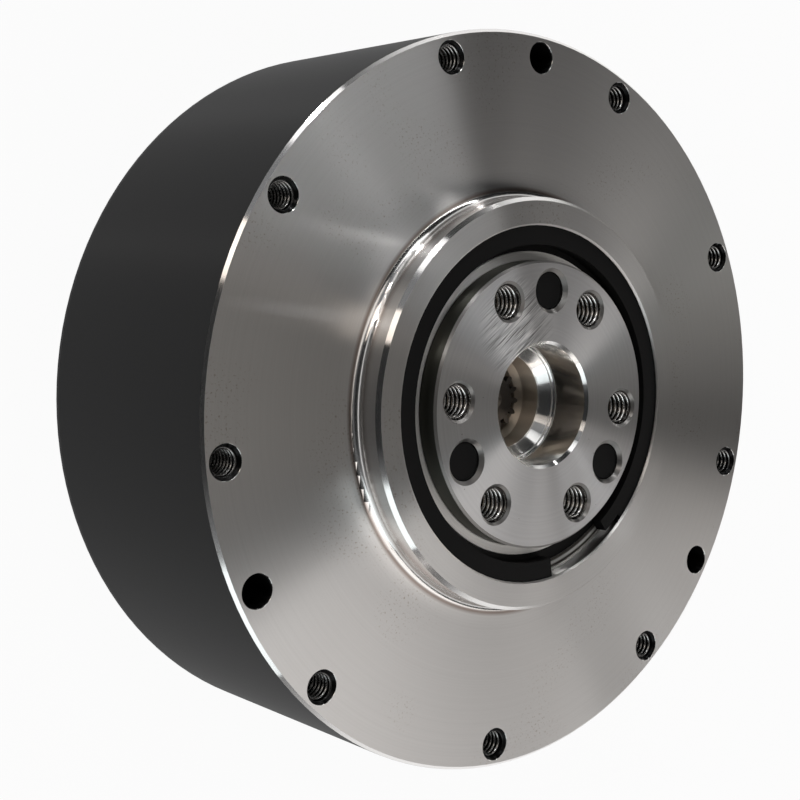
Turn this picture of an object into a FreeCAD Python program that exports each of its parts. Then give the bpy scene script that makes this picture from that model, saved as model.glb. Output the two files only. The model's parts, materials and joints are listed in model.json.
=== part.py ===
"""Robot joint actuator: an outrunner motor with a planetary stage nested inside its stator.

The output axis is +Z. The part rests on its rear face at z = 0, and the origin is the centre of
that face. Lengths are millimetres and angles are degrees. Everything that turns is drawn at its
rest position, with the sun, the planets and the ring gear in mesh.
"""
import FreeCAD
import Part
import Sketcher
import math
import os

V = FreeCAD.Vector
AXIS = V(0, 0, 1)
ORIGIN = V(0, 0, 0)

# Driving dimensions: alias, value, meaning.
DIMENSIONS = [
    ("casing_radius", 49.0, "outside of the casing"),
    ("front_height", 36.0, "front mounting face above the rear face"),
    ("cover_thickness", 1.0, "rear cover plate"),
    ("skirt_bore", 44.8, "inside of the casing round the rotor"),
    ("mouth_bore", 47.8, "seat of the rear housing in the casing"),
    ("mouth_depth", 5.0, "height of the ledge that the rear housing stops on"),
    ("rim_floor", 26.6, "underside of the thick outer ring of the front plate"),
    ("rim_bore", 42.6, "inside of that thick ring"),
    ("plate_floor", 31.0, "underside of the front plate over the winding"),
    ("boss_radius", 27.2, "bearing boss on the front face"),
    ("boss_height", 4.2, "boss above the front face"),
    ("boss_cove", 1.0, "cove at the foot of the boss"),
    ("boss_edge", 0.5, "chamfer on the boss"),
    ("rim_edge", 0.4, "chamfers on the rims of casing and rear cover"),
    ("output_height", 41.0, "output face above the rear face"),
    ("output_radius", 18.9, "head of the output flange"),
    ("output_edge", 0.3, "chamfer on that head"),
    ("bearing_bore", 18.5, "output bearing, inside radius"),
    ("bearing_outside", 23.5, "output bearing, outside radius"),
    ("bearing_width", 7.0, "output bearing"),
    ("bearing_floor", 31.0, "rear side of the output bearing"),
    ("bearing_mouth", 0.2, "chamfer at the mouth of the bearing's seat"),
    ("output_ball", 1.42, "ball radius of the output bearing"),
    ("output_balls", 22, "balls in the output bearing"),
    ("lip_radius", 21.9, "lip in the housing behind the outer ring"),
    ("lip_floor", 29.6, "underside of that lip"),
    ("snap_thickness", 1.75, "snap ring"),
    ("snap_inside", 21.0, "snap ring, inside radius"),
    ("snap_outside", 24.65, "snap ring, outside radius"),
    ("snap_gap_start", -78.0, "first end of the snap ring's gap"),
    ("snap_gap_end", -49.0, "second end of the snap ring's gap"),
    ("snap_notch", 8.0, "angle cut from the ring's outer half at that end"),
    ("mount_circle", 46.0, "radius of the casing's front hole circle"),
    ("mount_count", 9, "M4 holes in the front face"),
    ("mount_hole", 1.84, "M4 threaded holes, between the thread's core and its outside"),
    ("mount_depth", 9.0, "M4 holes"),
    ("thread_mouth", 0.36, "chamfers at the mouths of the M4 and M5 holes"),
    ("dowel_radius", 2.0, "dowel holes in the front face"),
    ("dowel_mouth", 0.15, "chamfers at the dowel holes"),
    ("dowel_depth", 6.0, "dowel holes"),
    ("output_circle", 15.0, "radius of the output hole circle and of the planet orbit"),
    ("output_hole", 2.34, "M5 threaded holes, between the thread's core and its outside"),
    ("output_count", 6, "M5 holes in the output face"),
    ("pin_radius", 2.5, "planet pins"),
    ("pin_recess", 0.7, "planet pins below the output face"),
    ("pin_mouth", 0.5, "chamfers at the pin holes"),
    ("pin_edge", 0.2, "chamfers on the pins"),
    ("planets", 3, "planet gears, pins and dowel holes"),
    ("bore_radius", 8.0, "centre bore of the output flange"),
    ("bore_mouth", 0.4, "chamfer at the mouth of the centre bore"),
    ("bore_joint", 0.15, "chamfer where that bore meets the carrier's spigot"),
    ("bore_floor", 35.0, "height where the output flange meets the carrier's spigot"),
    ("spigot_radius", 10.5, "carrier spigot inside the output flange"),
    ("throat_radius", 6.3, "narrow part of the centre bore"),
    ("throat_top", 33.4, "foot of the cone that leads into the throat"),
    ("throat_floor", 30.4, "inner end of the throat"),
    ("throat_cone", 0.8, "height of the cone from the throat to the window"),
    ("window_radius", 5.5, "hole that the sun gear's tip shows through"),
    ("carrier_radius", 24.0, "both carrier plates"),
    ("carrier_front_top", 29.2, "front carrier plate, top"),
    ("carrier_front_floor", 27.0, "front carrier plate, underside"),
    ("carrier_rear_top", 18.0, "rear carrier plate, top"),
    ("carrier_rear_floor", 15.0, "rear carrier plate, underside"),
    ("shoulder_radius", 19.5, "carrier shoulder behind the inner ring"),
    ("carrier_screw", 1.5, "M3 screws through the carrier, radius"),
    ("carrier_tap", 6.0, "depth of their threads in the output flange"),
    ("carrier_screw_length", 21.5, "those screws, head included"),
    ("carrier_head", 2.8, "radius of their heads"),
    ("pillar_small", 2.7, "pillar radius round its screw"),
    ("pillar_large", 4.2, "pillar radius near the rim"),
    ("pillar_reach", 19.2, "centre of the pillar's large end"),
    ("gear_module", 0.5, "all gears"),
    ("sun_teeth", 15, "sun gear"),
    ("planet_teeth", 45, "planet gears"),
    ("ring_teeth", 105, "ring gear"),
    ("tooth_play", 0.05, "thinning of every tooth at its pitch circle"),
    ("washer_thickness", 0.5, "thrust washers beside the planets"),
    ("planet_play", 0.05, "axial play of a planet on each side"),
    ("planet_bore", 4.0, "bush seat in a planet gear"),
    ("planet_hub", 5.4, "inside of the recess in a planet's faces"),
    ("planet_rim", 9.2, "outside of that recess"),
    ("planet_recess", 1.2, "depth of that recess"),
    ("washer_radius", 5.0, "thrust washers"),
    ("bush_play", 0.03, "radial play of a bush on its pin"),
    ("ring_seat", 28.6, "outside of the ring gear"),
    ("ring_floor", 17.2, "ring gear, rear side"),
    ("ring_top", 27.4, "ring gear, front side"),
    ("sleeve_radius", 30.2, "sleeve of the housing that carries the stator"),
    ("sleeve_floor", 13.2, "rear end of that sleeve"),
    ("stator_floor", 14.5, "lamination stack, rear side"),
    ("stator_top", 24.5, "lamination stack, front side"),
    ("stator_yoke", 33.2, "outside of the stator's yoke"),
    ("stator_radius", 39.7, "tooth tips"),
    ("stator_slots", 36, "stator teeth and coils"),
    ("tooth_width", 2.8, "stator tooth"),
    ("shoe_width", 5.9, "stator tooth shoe"),
    ("coil_thickness", 1.25, "winding beside a tooth"),
    ("coil_start", 33.7, "inner end of a coil"),
    ("coil_end", 38.1, "outer end of a coil"),
    ("coil_play", 0.1, "insulation between a coil and its tooth"),
    ("coil_corner", 0.7, "bevel on a coil's long edges"),
    ("magnet_count", 42, "rotor magnets"),
    ("magnet_inside", 40.4, "inner faces of the magnets"),
    ("magnet_width", 5.6, "one magnet"),
    ("magnet_floor", 13.5, "magnets, rear end"),
    ("magnet_top", 25.5, "magnets, front end"),
    ("rotor_inside", 42.4, "rotor ring, inside"),
    ("rotor_radius", 44.2, "rotor ring, outside"),
    ("rotor_floor", 9.0, "rotor, rear side"),
    ("rotor_web", 1.8, "rotor hub's disc"),
    ("cup_radius", 17.2, "raised middle of the rotor hub"),
    ("cup_wall", 1.6, "wall of that raised middle"),
    ("cup_roof", 1.4, "top of that raised middle"),
    ("lightening_circle", 27.5, "lightening holes in the rotor hub's disc"),
    ("lightening_radius", 5.0, "lightening holes"),
    ("lightening_count", 6, "lightening holes"),
    ("rotor_top", 26.0, "rotor ring, front end"),
    ("hub_bore", 4.0, "sun shaft in the rotor hub"),
    ("hub_seat", 7.5, "rotor hub in its bearing"),
    ("hub_top", 14.4, "rotor hub, front face"),
    ("rotor_bearing_outside", 12.0, "rotor bearing, outside radius"),
    ("rotor_bearing_floor", 7.4, "rotor bearing, rear side"),
    ("rotor_bearing_width", 5.0, "rotor bearing"),
    ("rotor_ball", 1.35, "ball radius of the rotor bearing"),
    ("rotor_balls", 12, "balls in the rotor bearing"),
    ("pilot_bore", 5.0, "pilot bearing, inside radius"),
    ("pilot_outside", 7.5, "pilot bearing, outside radius"),
    ("pilot_ball", 0.75, "ball radius of the pilot bearing"),
    ("pilot_balls", 12, "balls in the pilot bearing"),
    ("sun_top", 31.5, "tip of the sun gear"),
    ("dish_radius", 42.0, "inside of the rear housing's dish"),
    ("web_floor", 6.6, "rear housing's web, rear side"),
    ("web_top", 8.2, "rear housing's web, front side"),
    ("screw_circle", 46.2, "rear cover screws"),
    ("screw_count", 8, "rear cover screws"),
    ("cover_screw", 1.0, "M2 rear cover screws, radius"),
    ("cover_screw_length", 10.5, "those screws, head included"),
    ("cover_head", 1.88, "radius of their heads"),
    ("board_floor", 2.3, "driver board, rear side"),
    ("board_thickness", 1.6, "driver board"),
    ("board_radius", 41.2, "driver board"),
    ("board_screw_circle", 37.0, "driver board screws"),
    ("board_screws", 4, "driver board screws"),
    ("board_screw", 0.9, "M1.8 driver board screws, radius"),
    ("board_post", 2.4, "posts that carry the driver board"),
    ("encoder_magnet_radius", 3.0, "magnet on the end of the sun shaft"),
    ("encoder_magnet_width", 2.0, "that magnet"),
]

DOWEL_ANGLE = 90.0
MOUNT_ANGLE = 30.0
PILLAR_ANGLE = 30.0
BOARD_SCREW_ANGLE = 45.0

# Clearances between pieces that fit into one another.
TIGHT = 0.01
CLOSE = 0.02
SLIDING = 0.05
LOOSE = 0.1

# Rotor hub and sun shaft reach this far behind the rotor bearing.
HUB_OVERHANG = 0.2

# Corner of a screw's hexagon socket from its middle, in thread radii.
HEXAGON = 0.88

doc = FreeCAD.newDocument("joint_actuator")
sheet = doc.addObject("Spreadsheet::Sheet", "Sizes")


class Size:
    """A number together with the spreadsheet expression that it comes from."""

    def __init__(self, text, value):
        self.text = text
        self.value = value

    def _join(self, sign, other, value):
        return Size("(%s %s %s)" % (self.text, sign, text_of(other)), value)

    def __add__(self, other):
        return self._join("+", other, self.value + value_of(other))

    def __sub__(self, other):
        return self._join("-", other, self.value - value_of(other))

    def __mul__(self, other):
        return self._join("*", other, self.value * value_of(other))

    def __truediv__(self, other):
        return self._join("/", other, self.value / value_of(other))

    def __neg__(self):
        return Size("(-%s)" % self.text, -self.value)


def text_of(size):
    return size.text if isinstance(size, Size) else repr(float(size))


def value_of(size):
    return size.value if isinstance(size, Size) else float(size)


class Sizes:
    """The spreadsheet's cells, each one a Size with the name of its alias."""


def fill_sheet():
    for row, (alias, value, meaning) in enumerate(DIMENSIONS, start=1):
        sheet.set("A%d" % row, meaning)
        sheet.set("B%d" % row, str(value))
        sheet.setAlias("B%d" % row, alias)
        setattr(Sizes, alias, Size("Sizes." + alias, float(value)))
    doc.recompute()


fill_sheet()
d = Sizes
NODES = []


# Bodies, sketches and features -------------------------------------------------------------

def new_body(name):
    body = doc.addObject("PartDesign::Body", name)
    body.Label = name
    body.AllowCompound = True
    NODES.append(body)
    return body


def origin_plane(body, role):
    for feature in body.Origin.OriginFeatures:
        if feature.Role == role:
            return feature
    raise ValueError("no origin plane " + role)


def new_sketch(body, name, role, height=0.0):
    sketch = body.newObject("Sketcher::SketchObject", body.Name + "_" + name)
    sketch.AttachmentSupport = [(origin_plane(body, role), "")]
    sketch.MapMode = "FlatFace"
    sketch.AttachmentOffset.Base = V(0, 0, value_of(height))
    if isinstance(height, Size):
        sketch.setExpression("AttachmentOffset.Base.z", height.text)
    return sketch


def hold(sketch, kind, *where_and_size):
    """Adds one dimension to a sketch and binds it to its expression."""
    size = where_and_size[-1]
    index = sketch.addConstraint(Sketcher.Constraint(kind, *where_and_size[:-1], value_of(size)))
    if isinstance(size, Size):
        sketch.setExpression("Constraints[%d]" % index, size.text)


def draw_outline(sketch, corners):
    """Closed outline with straight sides; every corner is placed by two dimensions."""
    points = [V(value_of(x), value_of(y), 0) for x, y in corners]
    count = len(points)
    first = sketch.GeometryCount
    for i in range(count):
        sketch.addGeometry(Part.LineSegment(points[i], points[(i + 1) % count]), False)
    for i in range(count):
        following = first + (i + 1) % count
        sketch.addConstraint(Sketcher.Constraint("Coincident", first + i, 2, following, 1))
    for i, (x, y) in enumerate(corners):
        hold(sketch, "DistanceX", -1, 1, first + i, 1, x)
        hold(sketch, "DistanceY", -1, 1, first + i, 1, y)


def draw_circle(sketch, x, y, radius):
    centre = V(value_of(x), value_of(y), 0)
    index = sketch.addGeometry(Part.Circle(centre, AXIS, value_of(radius)), False)
    hold(sketch, "Radius", index, radius)
    hold(sketch, "DistanceX", -1, 1, index, 3, x)
    hold(sketch, "DistanceY", -1, 1, index, 3, y)


def revolve(name, corners):
    """Body turned from a half section given as (radius, height) corners."""
    body = new_body(name)
    sketch = new_sketch(body, "section", "XZ_Plane")
    draw_outline(sketch, corners)
    turned = body.newObject("PartDesign::Revolution", name + "_turned")
    turned.Profile = sketch
    turned.ReferenceAxis = (sketch, ["V_Axis"])
    turned.Angle = 360
    sketch.Visibility = False
    doc.recompute()
    return body


def extrude(body, sketch, length, name):
    pad = body.newObject("PartDesign::Pad", body.Name + "_" + name)
    pad.Profile = sketch
    pad.Length = value_of(length)
    if isinstance(length, Size):
        pad.setExpression("Length", length.text)
    doc.recompute()
    return pad


def cut(body, sketch, depth, name, upward=False):
    """Pocket from the sketch plane, downwards unless upward is set; it must remove metal."""
    before = body.Shape.Volume
    pocket = body.newObject("PartDesign::Pocket", body.Name + "_" + name)
    pocket.Profile = sketch
    pocket.Reversed = upward
    pocket.Length = value_of(depth)
    if isinstance(depth, Size):
        pocket.setExpression("Length", depth.text)
    doc.recompute()
    if not body.Shape.Volume < before - 1e-6:
        raise ValueError("pocket removes nothing: " + pocket.Name)
    return pocket


def repeat(body, feature, sketch, count, name):
    """Polar pattern of one feature round the output axis."""
    pattern = body.newObject("PartDesign::PolarPattern", body.Name + "_" + name)
    pattern.Originals = [feature]
    pattern.Axis = (sketch, ["N_Axis"])
    pattern.Angle = 360
    pattern.Occurrences = int(value_of(count))
    if isinstance(count, Size):
        pattern.setExpression("Occurrences", count.text)
    body.Tip = pattern
    doc.recompute()
    return pattern


def on_circle(radius, angle):
    """Point on a circle round the axis, as two sizes."""
    turn = math.radians(angle)
    return radius * math.cos(turn), radius * math.sin(turn)


def drill(body, name, circle, angle, count, radius, top, depth, upward=False):
    """Ring of plain holes, cut from the height top."""
    sketch = new_sketch(body, name, "XY_Plane", top)
    x, y = on_circle(circle, angle)
    draw_circle(sketch, x, y, radius)
    hole = cut(body, sketch, depth, name + "_hole", upward)
    return repeat(body, hole, sketch, count, name + "_ring")


def round_edges(body, radius, height):
    """Names of the circular edges that have this radius and lie at this height."""
    names = []
    for index, edge in enumerate(body.Shape.Edges, start=1):
        curve = edge.Curve
        if not isinstance(curve, Part.Circle):
            continue
        if abs(curve.Radius - value_of(radius)) > 1e-4:
            continue
        if abs(curve.Center.z - value_of(height)) < 1e-4:
            names.append("Edge%d" % index)
    if not names:
        raise ValueError("%s has no edge of radius %g" % (body.Name, value_of(radius)))
    return names


def dress(body, kind, radius, height, name):
    """Chamfer or fillet feature on every circular edge of this radius at this height."""
    edges = (body.Tip, round_edges(body, radius, height))
    feature = body.newObject("PartDesign::" + kind, body.Name + "_" + name)
    feature.Base = edges
    return feature


def chamfer(body, radius, height, size, name):
    feature = dress(body, "Chamfer", radius, height, name)
    feature.setExpression("Size", size.text)
    doc.recompute()


def fillet(body, radius, height, size, name):
    feature = dress(body, "Fillet", radius, height, name)
    feature.setExpression("Radius", size.text)
    doc.recompute()


def solid_feature(name, shape):
    """Node whose shape is computed here, because no sketch or primitive describes it well."""
    feature = doc.addObject("Part::Feature", name)
    feature.Label = name
    feature.Shape = shape
    NODES.append(feature)
    return feature


def copies_round_axis(shape, count, start=0.0):
    """Separate copies of a shape at equal angles round the output axis."""
    copies = []
    for i in range(int(value_of(count))):
        copy = shape.copy()
        copy.rotate(ORIGIN, AXIS, start + 360.0 * i / value_of(count))
        copies.append(copy)
    return Part.makeCompound(copies)


# Casing ------------------------------------------------------------------------------------

def make_front_housing():
    snap_floor = d.bearing_floor + d.bearing_width
    snap_roof = snap_floor + d.snap_thickness + LOOSE
    groove = d.snap_outside + LOOSE
    relief = d.carrier_radius + 0.9
    boss_top = d.front_height + d.boss_height
    body = revolve("front_housing", [
        (d.casing_radius, d.cover_thickness),
        (d.casing_radius, d.front_height),
        (d.boss_radius, d.front_height),
        (d.boss_radius, boss_top),
        (d.bearing_outside, boss_top),
        (d.bearing_outside, snap_roof),
        (groove, snap_roof),
        (groove, snap_floor),
        (d.bearing_outside, snap_floor),
        (d.bearing_outside, d.bearing_floor),
        (d.lip_radius, d.bearing_floor),
        (d.lip_radius, d.lip_floor),
        (relief, d.lip_floor),
        (relief, d.ring_top),
        (d.ring_seat, d.ring_top),
        (d.ring_seat, d.sleeve_floor),
        (d.sleeve_radius, d.sleeve_floor),
        (d.sleeve_radius, d.plate_floor),
        (d.rim_bore, d.plate_floor),
        (d.rim_bore, d.rim_floor),
        (d.skirt_bore, d.rim_floor),
        (d.skirt_bore, d.mouth_depth),
        (d.mouth_bore, d.mouth_depth),
        (d.mouth_bore, d.cover_thickness),
    ])
    fillet(body, d.boss_radius, d.front_height, d.boss_cove, "boss_cove")
    chamfer(body, d.boss_radius, boss_top, d.boss_edge, "boss_edge")
    chamfer(body, d.bearing_outside, boss_top, d.bearing_mouth, "bore_edge")
    chamfer(body, d.casing_radius, d.front_height, d.rim_edge, "rim_edge")
    drill(body, "mount", d.mount_circle, MOUNT_ANGLE, d.mount_count, d.mount_hole,
          d.front_height, d.mount_depth)
    chamfer(body, d.mount_hole, d.front_height, d.thread_mouth, "mount_mouths")
    drill(body, "dowel", d.mount_circle, DOWEL_ANGLE, d.planets, d.dowel_radius,
          d.front_height, d.dowel_depth)
    chamfer(body, d.dowel_radius, d.front_height, d.dowel_mouth, "dowel_mouths")
    drill(body, "cover_screw", d.screw_circle, 0.0, d.screw_count, d.cover_screw,
          d.mouth_depth, d.cover_screw_length - d.mouth_depth + 1.0, upward=True)


def make_snap_ring():
    """Flat retaining ring with a wide gap, notched beside the gap's second end."""
    inside = d.snap_inside.value
    outside = d.snap_outside.value
    thickness = d.snap_thickness.value
    floor = V(0, 0, (d.bearing_floor + d.bearing_width).value + CLOSE)
    ring = Part.makeCylinder(outside, thickness, floor)
    ring = ring.cut(Part.makeCylinder(inside, thickness, floor))

    def sector(start, end):
        wedge = Part.makeCylinder(outside + 1.0, thickness, floor, AXIS, end - start)
        wedge.rotate(ORIGIN, AXIS, start)
        return wedge

    gap_end = d.snap_gap_end.value
    gap = sector(d.snap_gap_start.value, gap_end)
    notch = sector(gap_end - 0.5, gap_end + d.snap_notch.value)
    notch = notch.cut(Part.makeCylinder((inside + outside) / 2, thickness, floor))
    solid_feature("snap_ring", ring.cut(gap).cut(notch))


def make_rear_housing():
    flange = d.mouth_bore - SLIDING
    spigot = d.skirt_bore - LOOSE
    boss = d.rotor_bearing_outside + 2.0
    boss_top = d.rotor_bearing_floor + d.rotor_bearing_width + 0.2
    ledge = d.rotor_bearing_outside - 1.2
    body = revolve("rear_housing", [
        (flange, d.cover_thickness),
        (flange, d.mouth_depth),
        (spigot, d.mouth_depth),
        (spigot, d.web_top),
        (boss, d.web_top),
        (boss, boss_top),
        (d.rotor_bearing_outside, boss_top),
        (d.rotor_bearing_outside, d.rotor_bearing_floor),
        (ledge, d.rotor_bearing_floor),
        (ledge, d.web_floor),
        (d.dish_radius, d.web_floor),
        (d.dish_radius, d.cover_thickness),
    ])
    drill(body, "cover_screw", d.screw_circle, 0.0, d.screw_count, d.cover_screw + LOOSE,
          d.mouth_depth, d.mouth_depth)
    post_floor = d.board_floor + d.board_thickness
    sketch = new_sketch(body, "posts", "XY_Plane", post_floor)
    x, y = on_circle(d.board_screw_circle, BOARD_SCREW_ANGLE)
    draw_circle(sketch, x, y, d.board_post)
    sunk = 0.5
    posts = extrude(body, sketch, d.web_floor - post_floor + sunk, "post")
    repeat(body, posts, sketch, d.board_screws, "post_ring")
    drill(body, "post_screw", d.board_screw_circle, BOARD_SCREW_ANGLE, d.board_screws,
          d.board_screw, post_floor, d.web_floor - post_floor + 0.3, upward=True)


class Socket:
    """One socket on the rear side: its centre, size across, corner radius and wall."""

    def __init__(self, x, y, width, depth, corner):
        self.x = x
        self.y = y
        self.width = width
        self.depth = depth
        self.corner = corner

    def corners(self, play):
        """Corners of the window that leaves this play round the socket."""
        half_width = self.width / 2 + play
        half_depth = self.depth / 2 + play
        return [(self.x + side * half_width, self.y + front * half_depth)
                for side, front in ((-1, -1), (1, -1), (1, 1), (-1, 1))]

    def block(self):
        """Solid block with rounded upright edges."""
        height = SOCKET_TOP - SOCKET_FLOOR
        place = V(self.x - self.width / 2, self.y - self.depth / 2, SOCKET_FLOOR)
        block = Part.makeBox(self.width, self.depth, height, place)
        return block.makeFillet(self.corner, edges_along(block, AXIS))


SOCKET_FLOOR = 0.3
SOCKET_TOP = 6.3
POWER_SOCKET = Socket(0.0, -31.0, 10.4, 5.4, 0.8)
SIGNAL_SOCKETS = [Socket(-14.5, -29.0, 8.6, 4.4, 0.3), Socket(14.5, -29.0, 8.6, 4.4, 0.3)]


def edges_along(shape, direction):
    """Straight edges of a shape that run along a direction."""
    return [edge for edge in shape.Edges
            if abs(edge.tangentAt(edge.FirstParameter).dot(direction)) > 0.9]


def cut_windows(body, height, depth, play):
    """One rectangular window round each socket, cut downwards from the height."""
    sketch = new_sketch(body, "windows", "XY_Plane", height)
    for socket in [POWER_SOCKET] + SIGNAL_SOCKETS:
        draw_outline(sketch, socket.corners(play))
    cut(body, sketch, depth, "sockets")


def make_rear_cover():
    body = new_body("rear_cover")
    sketch = new_sketch(body, "disc", "XY_Plane")
    draw_circle(sketch, 0, 0, d.casing_radius)
    extrude(body, sketch, d.cover_thickness, "plate")
    chamfer(body, d.casing_radius, 0.0, d.rim_edge, "edge")
    hole = d.cover_screw + SLIDING
    drill(body, "screw", d.screw_circle, 0.0, d.screw_count, hole,
          d.cover_thickness, d.cover_thickness)
    chamfer(body, hole, 0.0, d.cover_head - d.cover_screw, "countersinks")
    cut_windows(body, d.cover_thickness, d.cover_thickness, 0.2)


def flat_head_screw(circle, head_radius, radius, length, floor):
    """Countersunk screw on a circle; it points up, and its head is flush with the floor."""
    head_height = head_radius - radius
    head = Part.makeCone(head_radius, radius, head_height, V(circle, 0, floor))
    shank = Part.makeCylinder(radius, length - head_height, V(circle, 0, floor + head_height))
    reach = HEXAGON * radius
    corners = [polar(reach, math.radians(60 * i)) + V(circle, 0, floor) for i in range(7)]
    socket = Part.Face(Part.makePolygon(corners)).extrude(V(0, 0, head_height * 0.8))
    return head.fuse(shank).removeSplitter().cut(socket)


def make_rear_cover_screws():
    screw = flat_head_screw(d.screw_circle.value, d.cover_head.value,
                            d.cover_screw.value - CLOSE, d.cover_screw_length.value, SLIDING)
    solid_feature("rear_cover_screws", copies_round_axis(screw, d.screw_count))


# Bearings ----------------------------------------------------------------------------------

LAND = 0.62          # lands of the rings from the pitch circle, in ball radii
GROOVE_PLAY = 0.03   # grooves wider than the balls, in radius
CAGE_PLAY = 0.12     # cage from the lands
CAGE_WIDTH = 2.45    # in ball radii
POCKET_PLAY = 0.06   # cage pockets wider than the balls, in radius


class Bearing:
    """Deep groove ball bearing: two grooved rings, balls and a cage."""

    def __init__(self, name, inside, outside, floor, width, ball, count):
        self.name = name
        self.inside = inside
        self.outside = outside
        self.floor = floor
        self.width = width
        self.ball = ball
        self.count = count
        self.middle = floor + width / 2
        self.pitch = (inside + outside) / 2
        self.inner_land = self.pitch - ball * LAND
        self.outer_land = self.pitch + ball * LAND

    def make_ring(self, ring, seat, land, corner):
        """Ring with bevelled corners on its seat and a groove in its land."""
        top = self.floor + self.width
        bevel = (self.outside - self.inside) / 10
        body = revolve(self.name + "_" + ring, [
            (seat + corner, self.floor), (land, self.floor), (land, top),
            (seat + corner, top), (seat, top - bevel), (seat, self.floor + bevel)])
        sketch = new_sketch(body, "groove", "XZ_Plane")
        draw_circle(sketch, self.pitch, self.middle, self.ball + GROOVE_PLAY)
        before = body.Shape.Volume
        groove = body.newObject("PartDesign::Groove", body.Name + "_groove_cut")
        groove.Profile = sketch
        groove.ReferenceAxis = (sketch, ["V_Axis"])
        groove.Angle = 360
        doc.recompute()
        if not body.Shape.Volume < before - 1e-6:
            raise ValueError("groove removes nothing: " + body.Name)

    def make_rings(self):
        bevel = (self.outside - self.inside) / 10
        self.make_ring("inner_ring", self.inside, self.inner_land, bevel)
        self.make_ring("outer_ring", self.outside, self.outer_land, -bevel)

    def make_balls(self):
        ball = Part.makeSphere(self.ball.value, V(self.pitch.value, 0, self.middle.value))
        solid_feature(self.name + "_balls", copies_round_axis(ball, self.count))

    def make_cage(self):
        """Plain band between the lands, with a round pocket for every ball."""
        width = self.ball.value * CAGE_WIDTH
        half_gap = self.ball.value * LAND - CAGE_PLAY
        pitch = self.pitch.value
        foot = V(0, 0, self.middle.value - width / 2)
        cage = Part.makeCylinder(pitch + half_gap, width, foot)
        cage = cage.cut(Part.makeCylinder(pitch - half_gap, width, foot))
        pocket = Part.makeCylinder(self.ball.value + POCKET_PLAY, width * 2,
                                   V(pitch - width, 0, self.middle.value), V(1, 0, 0))
        solid_feature(self.name + "_cage", cage.cut(copies_round_axis(pocket, self.count)))

    def make_seals(self, inset, thickness):
        """Two flat rings that close the bearing; they run clear of the inner ring."""
        near = self.inner_land.value + LOOSE
        far = self.outer_land.value
        low = self.floor.value + inset
        high = (self.floor + self.width).value - inset - thickness
        seals = []
        for height in (low, high):
            disc = Part.makeCylinder(far, thickness, V(0, 0, height))
            seals.append(disc.cut(Part.makeCylinder(near, thickness, V(0, 0, height))))
        solid_feature(self.name + "_seals", Part.makeCompound(seals))


def make_bearings():
    output = Bearing("output_bearing", d.bearing_bore, d.bearing_outside, d.bearing_floor,
                     d.bearing_width, d.output_ball, d.output_balls)
    rotor = Bearing("rotor_bearing", d.hub_seat, d.rotor_bearing_outside,
                    d.rotor_bearing_floor, d.rotor_bearing_width, d.rotor_ball, d.rotor_balls)
    pilot = Bearing("pilot_bearing", d.pilot_bore, d.pilot_outside, d.carrier_rear_floor,
                    d.carrier_rear_top - d.carrier_rear_floor, d.pilot_ball, d.pilot_balls)
    for bearing in (output, rotor, pilot):
        bearing.make_rings()
        bearing.make_balls()
        bearing.make_cage()
    output.make_seals(inset=0.15, thickness=0.5)


# Output and planet carrier -----------------------------------------------------------------

def make_output_flange():
    head_floor = d.bearing_floor + d.bearing_width
    body = revolve("output_flange", [
        (d.bore_radius, d.output_height),
        (d.output_radius, d.output_height),
        (d.output_radius, head_floor),
        (d.bearing_bore, head_floor),
        (d.bearing_bore, d.bearing_floor),
        (d.spigot_radius, d.bearing_floor),
        (d.spigot_radius, d.bore_floor),
        (d.bore_radius, d.bore_floor),
    ])
    chamfer(body, d.output_radius, d.output_height, d.output_edge, "head_edge")
    chamfer(body, d.bore_radius, d.output_height, d.bore_mouth, "bore_mouth")
    chamfer(body, d.bore_radius, d.bore_floor, d.bore_joint, "bore_end")
    length = d.output_height - d.bearing_floor
    drill(body, "tap", d.output_circle, 0.0, d.output_count, d.output_hole,
          d.output_height, length)
    chamfer(body, d.output_hole, d.output_height, d.thread_mouth, "tap_mouths")
    drill(body, "pin", d.output_circle, DOWEL_ANGLE, d.planets, d.pin_radius,
          d.output_height, length)
    chamfer(body, d.pin_radius, d.output_height, d.pin_mouth, "pin_mouths")
    drill(body, "carrier_screw", d.output_circle, PILLAR_ANGLE, d.planets, d.carrier_screw,
          d.bearing_floor, d.carrier_tap, upward=True)


def make_carrier_front():
    body = revolve("carrier_front_plate", [
        (d.window_radius, d.carrier_front_floor),
        (d.carrier_radius, d.carrier_front_floor),
        (d.carrier_radius, d.carrier_front_top),
        (d.shoulder_radius, d.carrier_front_top),
        (d.shoulder_radius, d.bearing_floor),
        (d.spigot_radius, d.bearing_floor),
        (d.spigot_radius, d.bore_floor),
        (d.bore_radius, d.bore_floor),
        (d.throat_radius, d.throat_top),
        (d.throat_radius, d.throat_floor),
        (d.window_radius, d.throat_floor - d.throat_cone),
    ])
    length = d.bearing_floor - d.carrier_front_floor
    drill(body, "pin", d.output_circle, DOWEL_ANGLE, d.planets, d.pin_radius,
          d.bearing_floor, length)
    drill(body, "screw", d.output_circle, PILLAR_ANGLE, d.planets, d.carrier_screw,
          d.bearing_floor, length)


def pillar_outline():
    """Face of one pillar: two circles along X joined by their outer tangents."""
    small = d.pillar_small.value
    large = d.pillar_large.value
    near = d.output_circle.value
    far = d.pillar_reach.value
    lean = math.asin((large - small) / (far - near))
    across = math.cos(lean)
    along = -math.sin(lean)
    corners = []
    for centre, radius in ((near, small), (far, large)):
        corners.append(V(centre + radius * along, radius * across, 0))
        corners.append(V(centre + radius * along, -radius * across, 0))
    near_up, near_down, far_up, far_down = corners
    edges = [
        Part.LineSegment(near_up, far_up).toShape(),
        Part.Arc(far_up, V(far + large, 0, 0), far_down).toShape(),
        Part.LineSegment(far_down, near_down).toShape(),
        Part.Arc(near_down, V(near - small, 0, 0), near_up).toShape(),
    ]
    return Part.Face(Part.Wire(edges))


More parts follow.
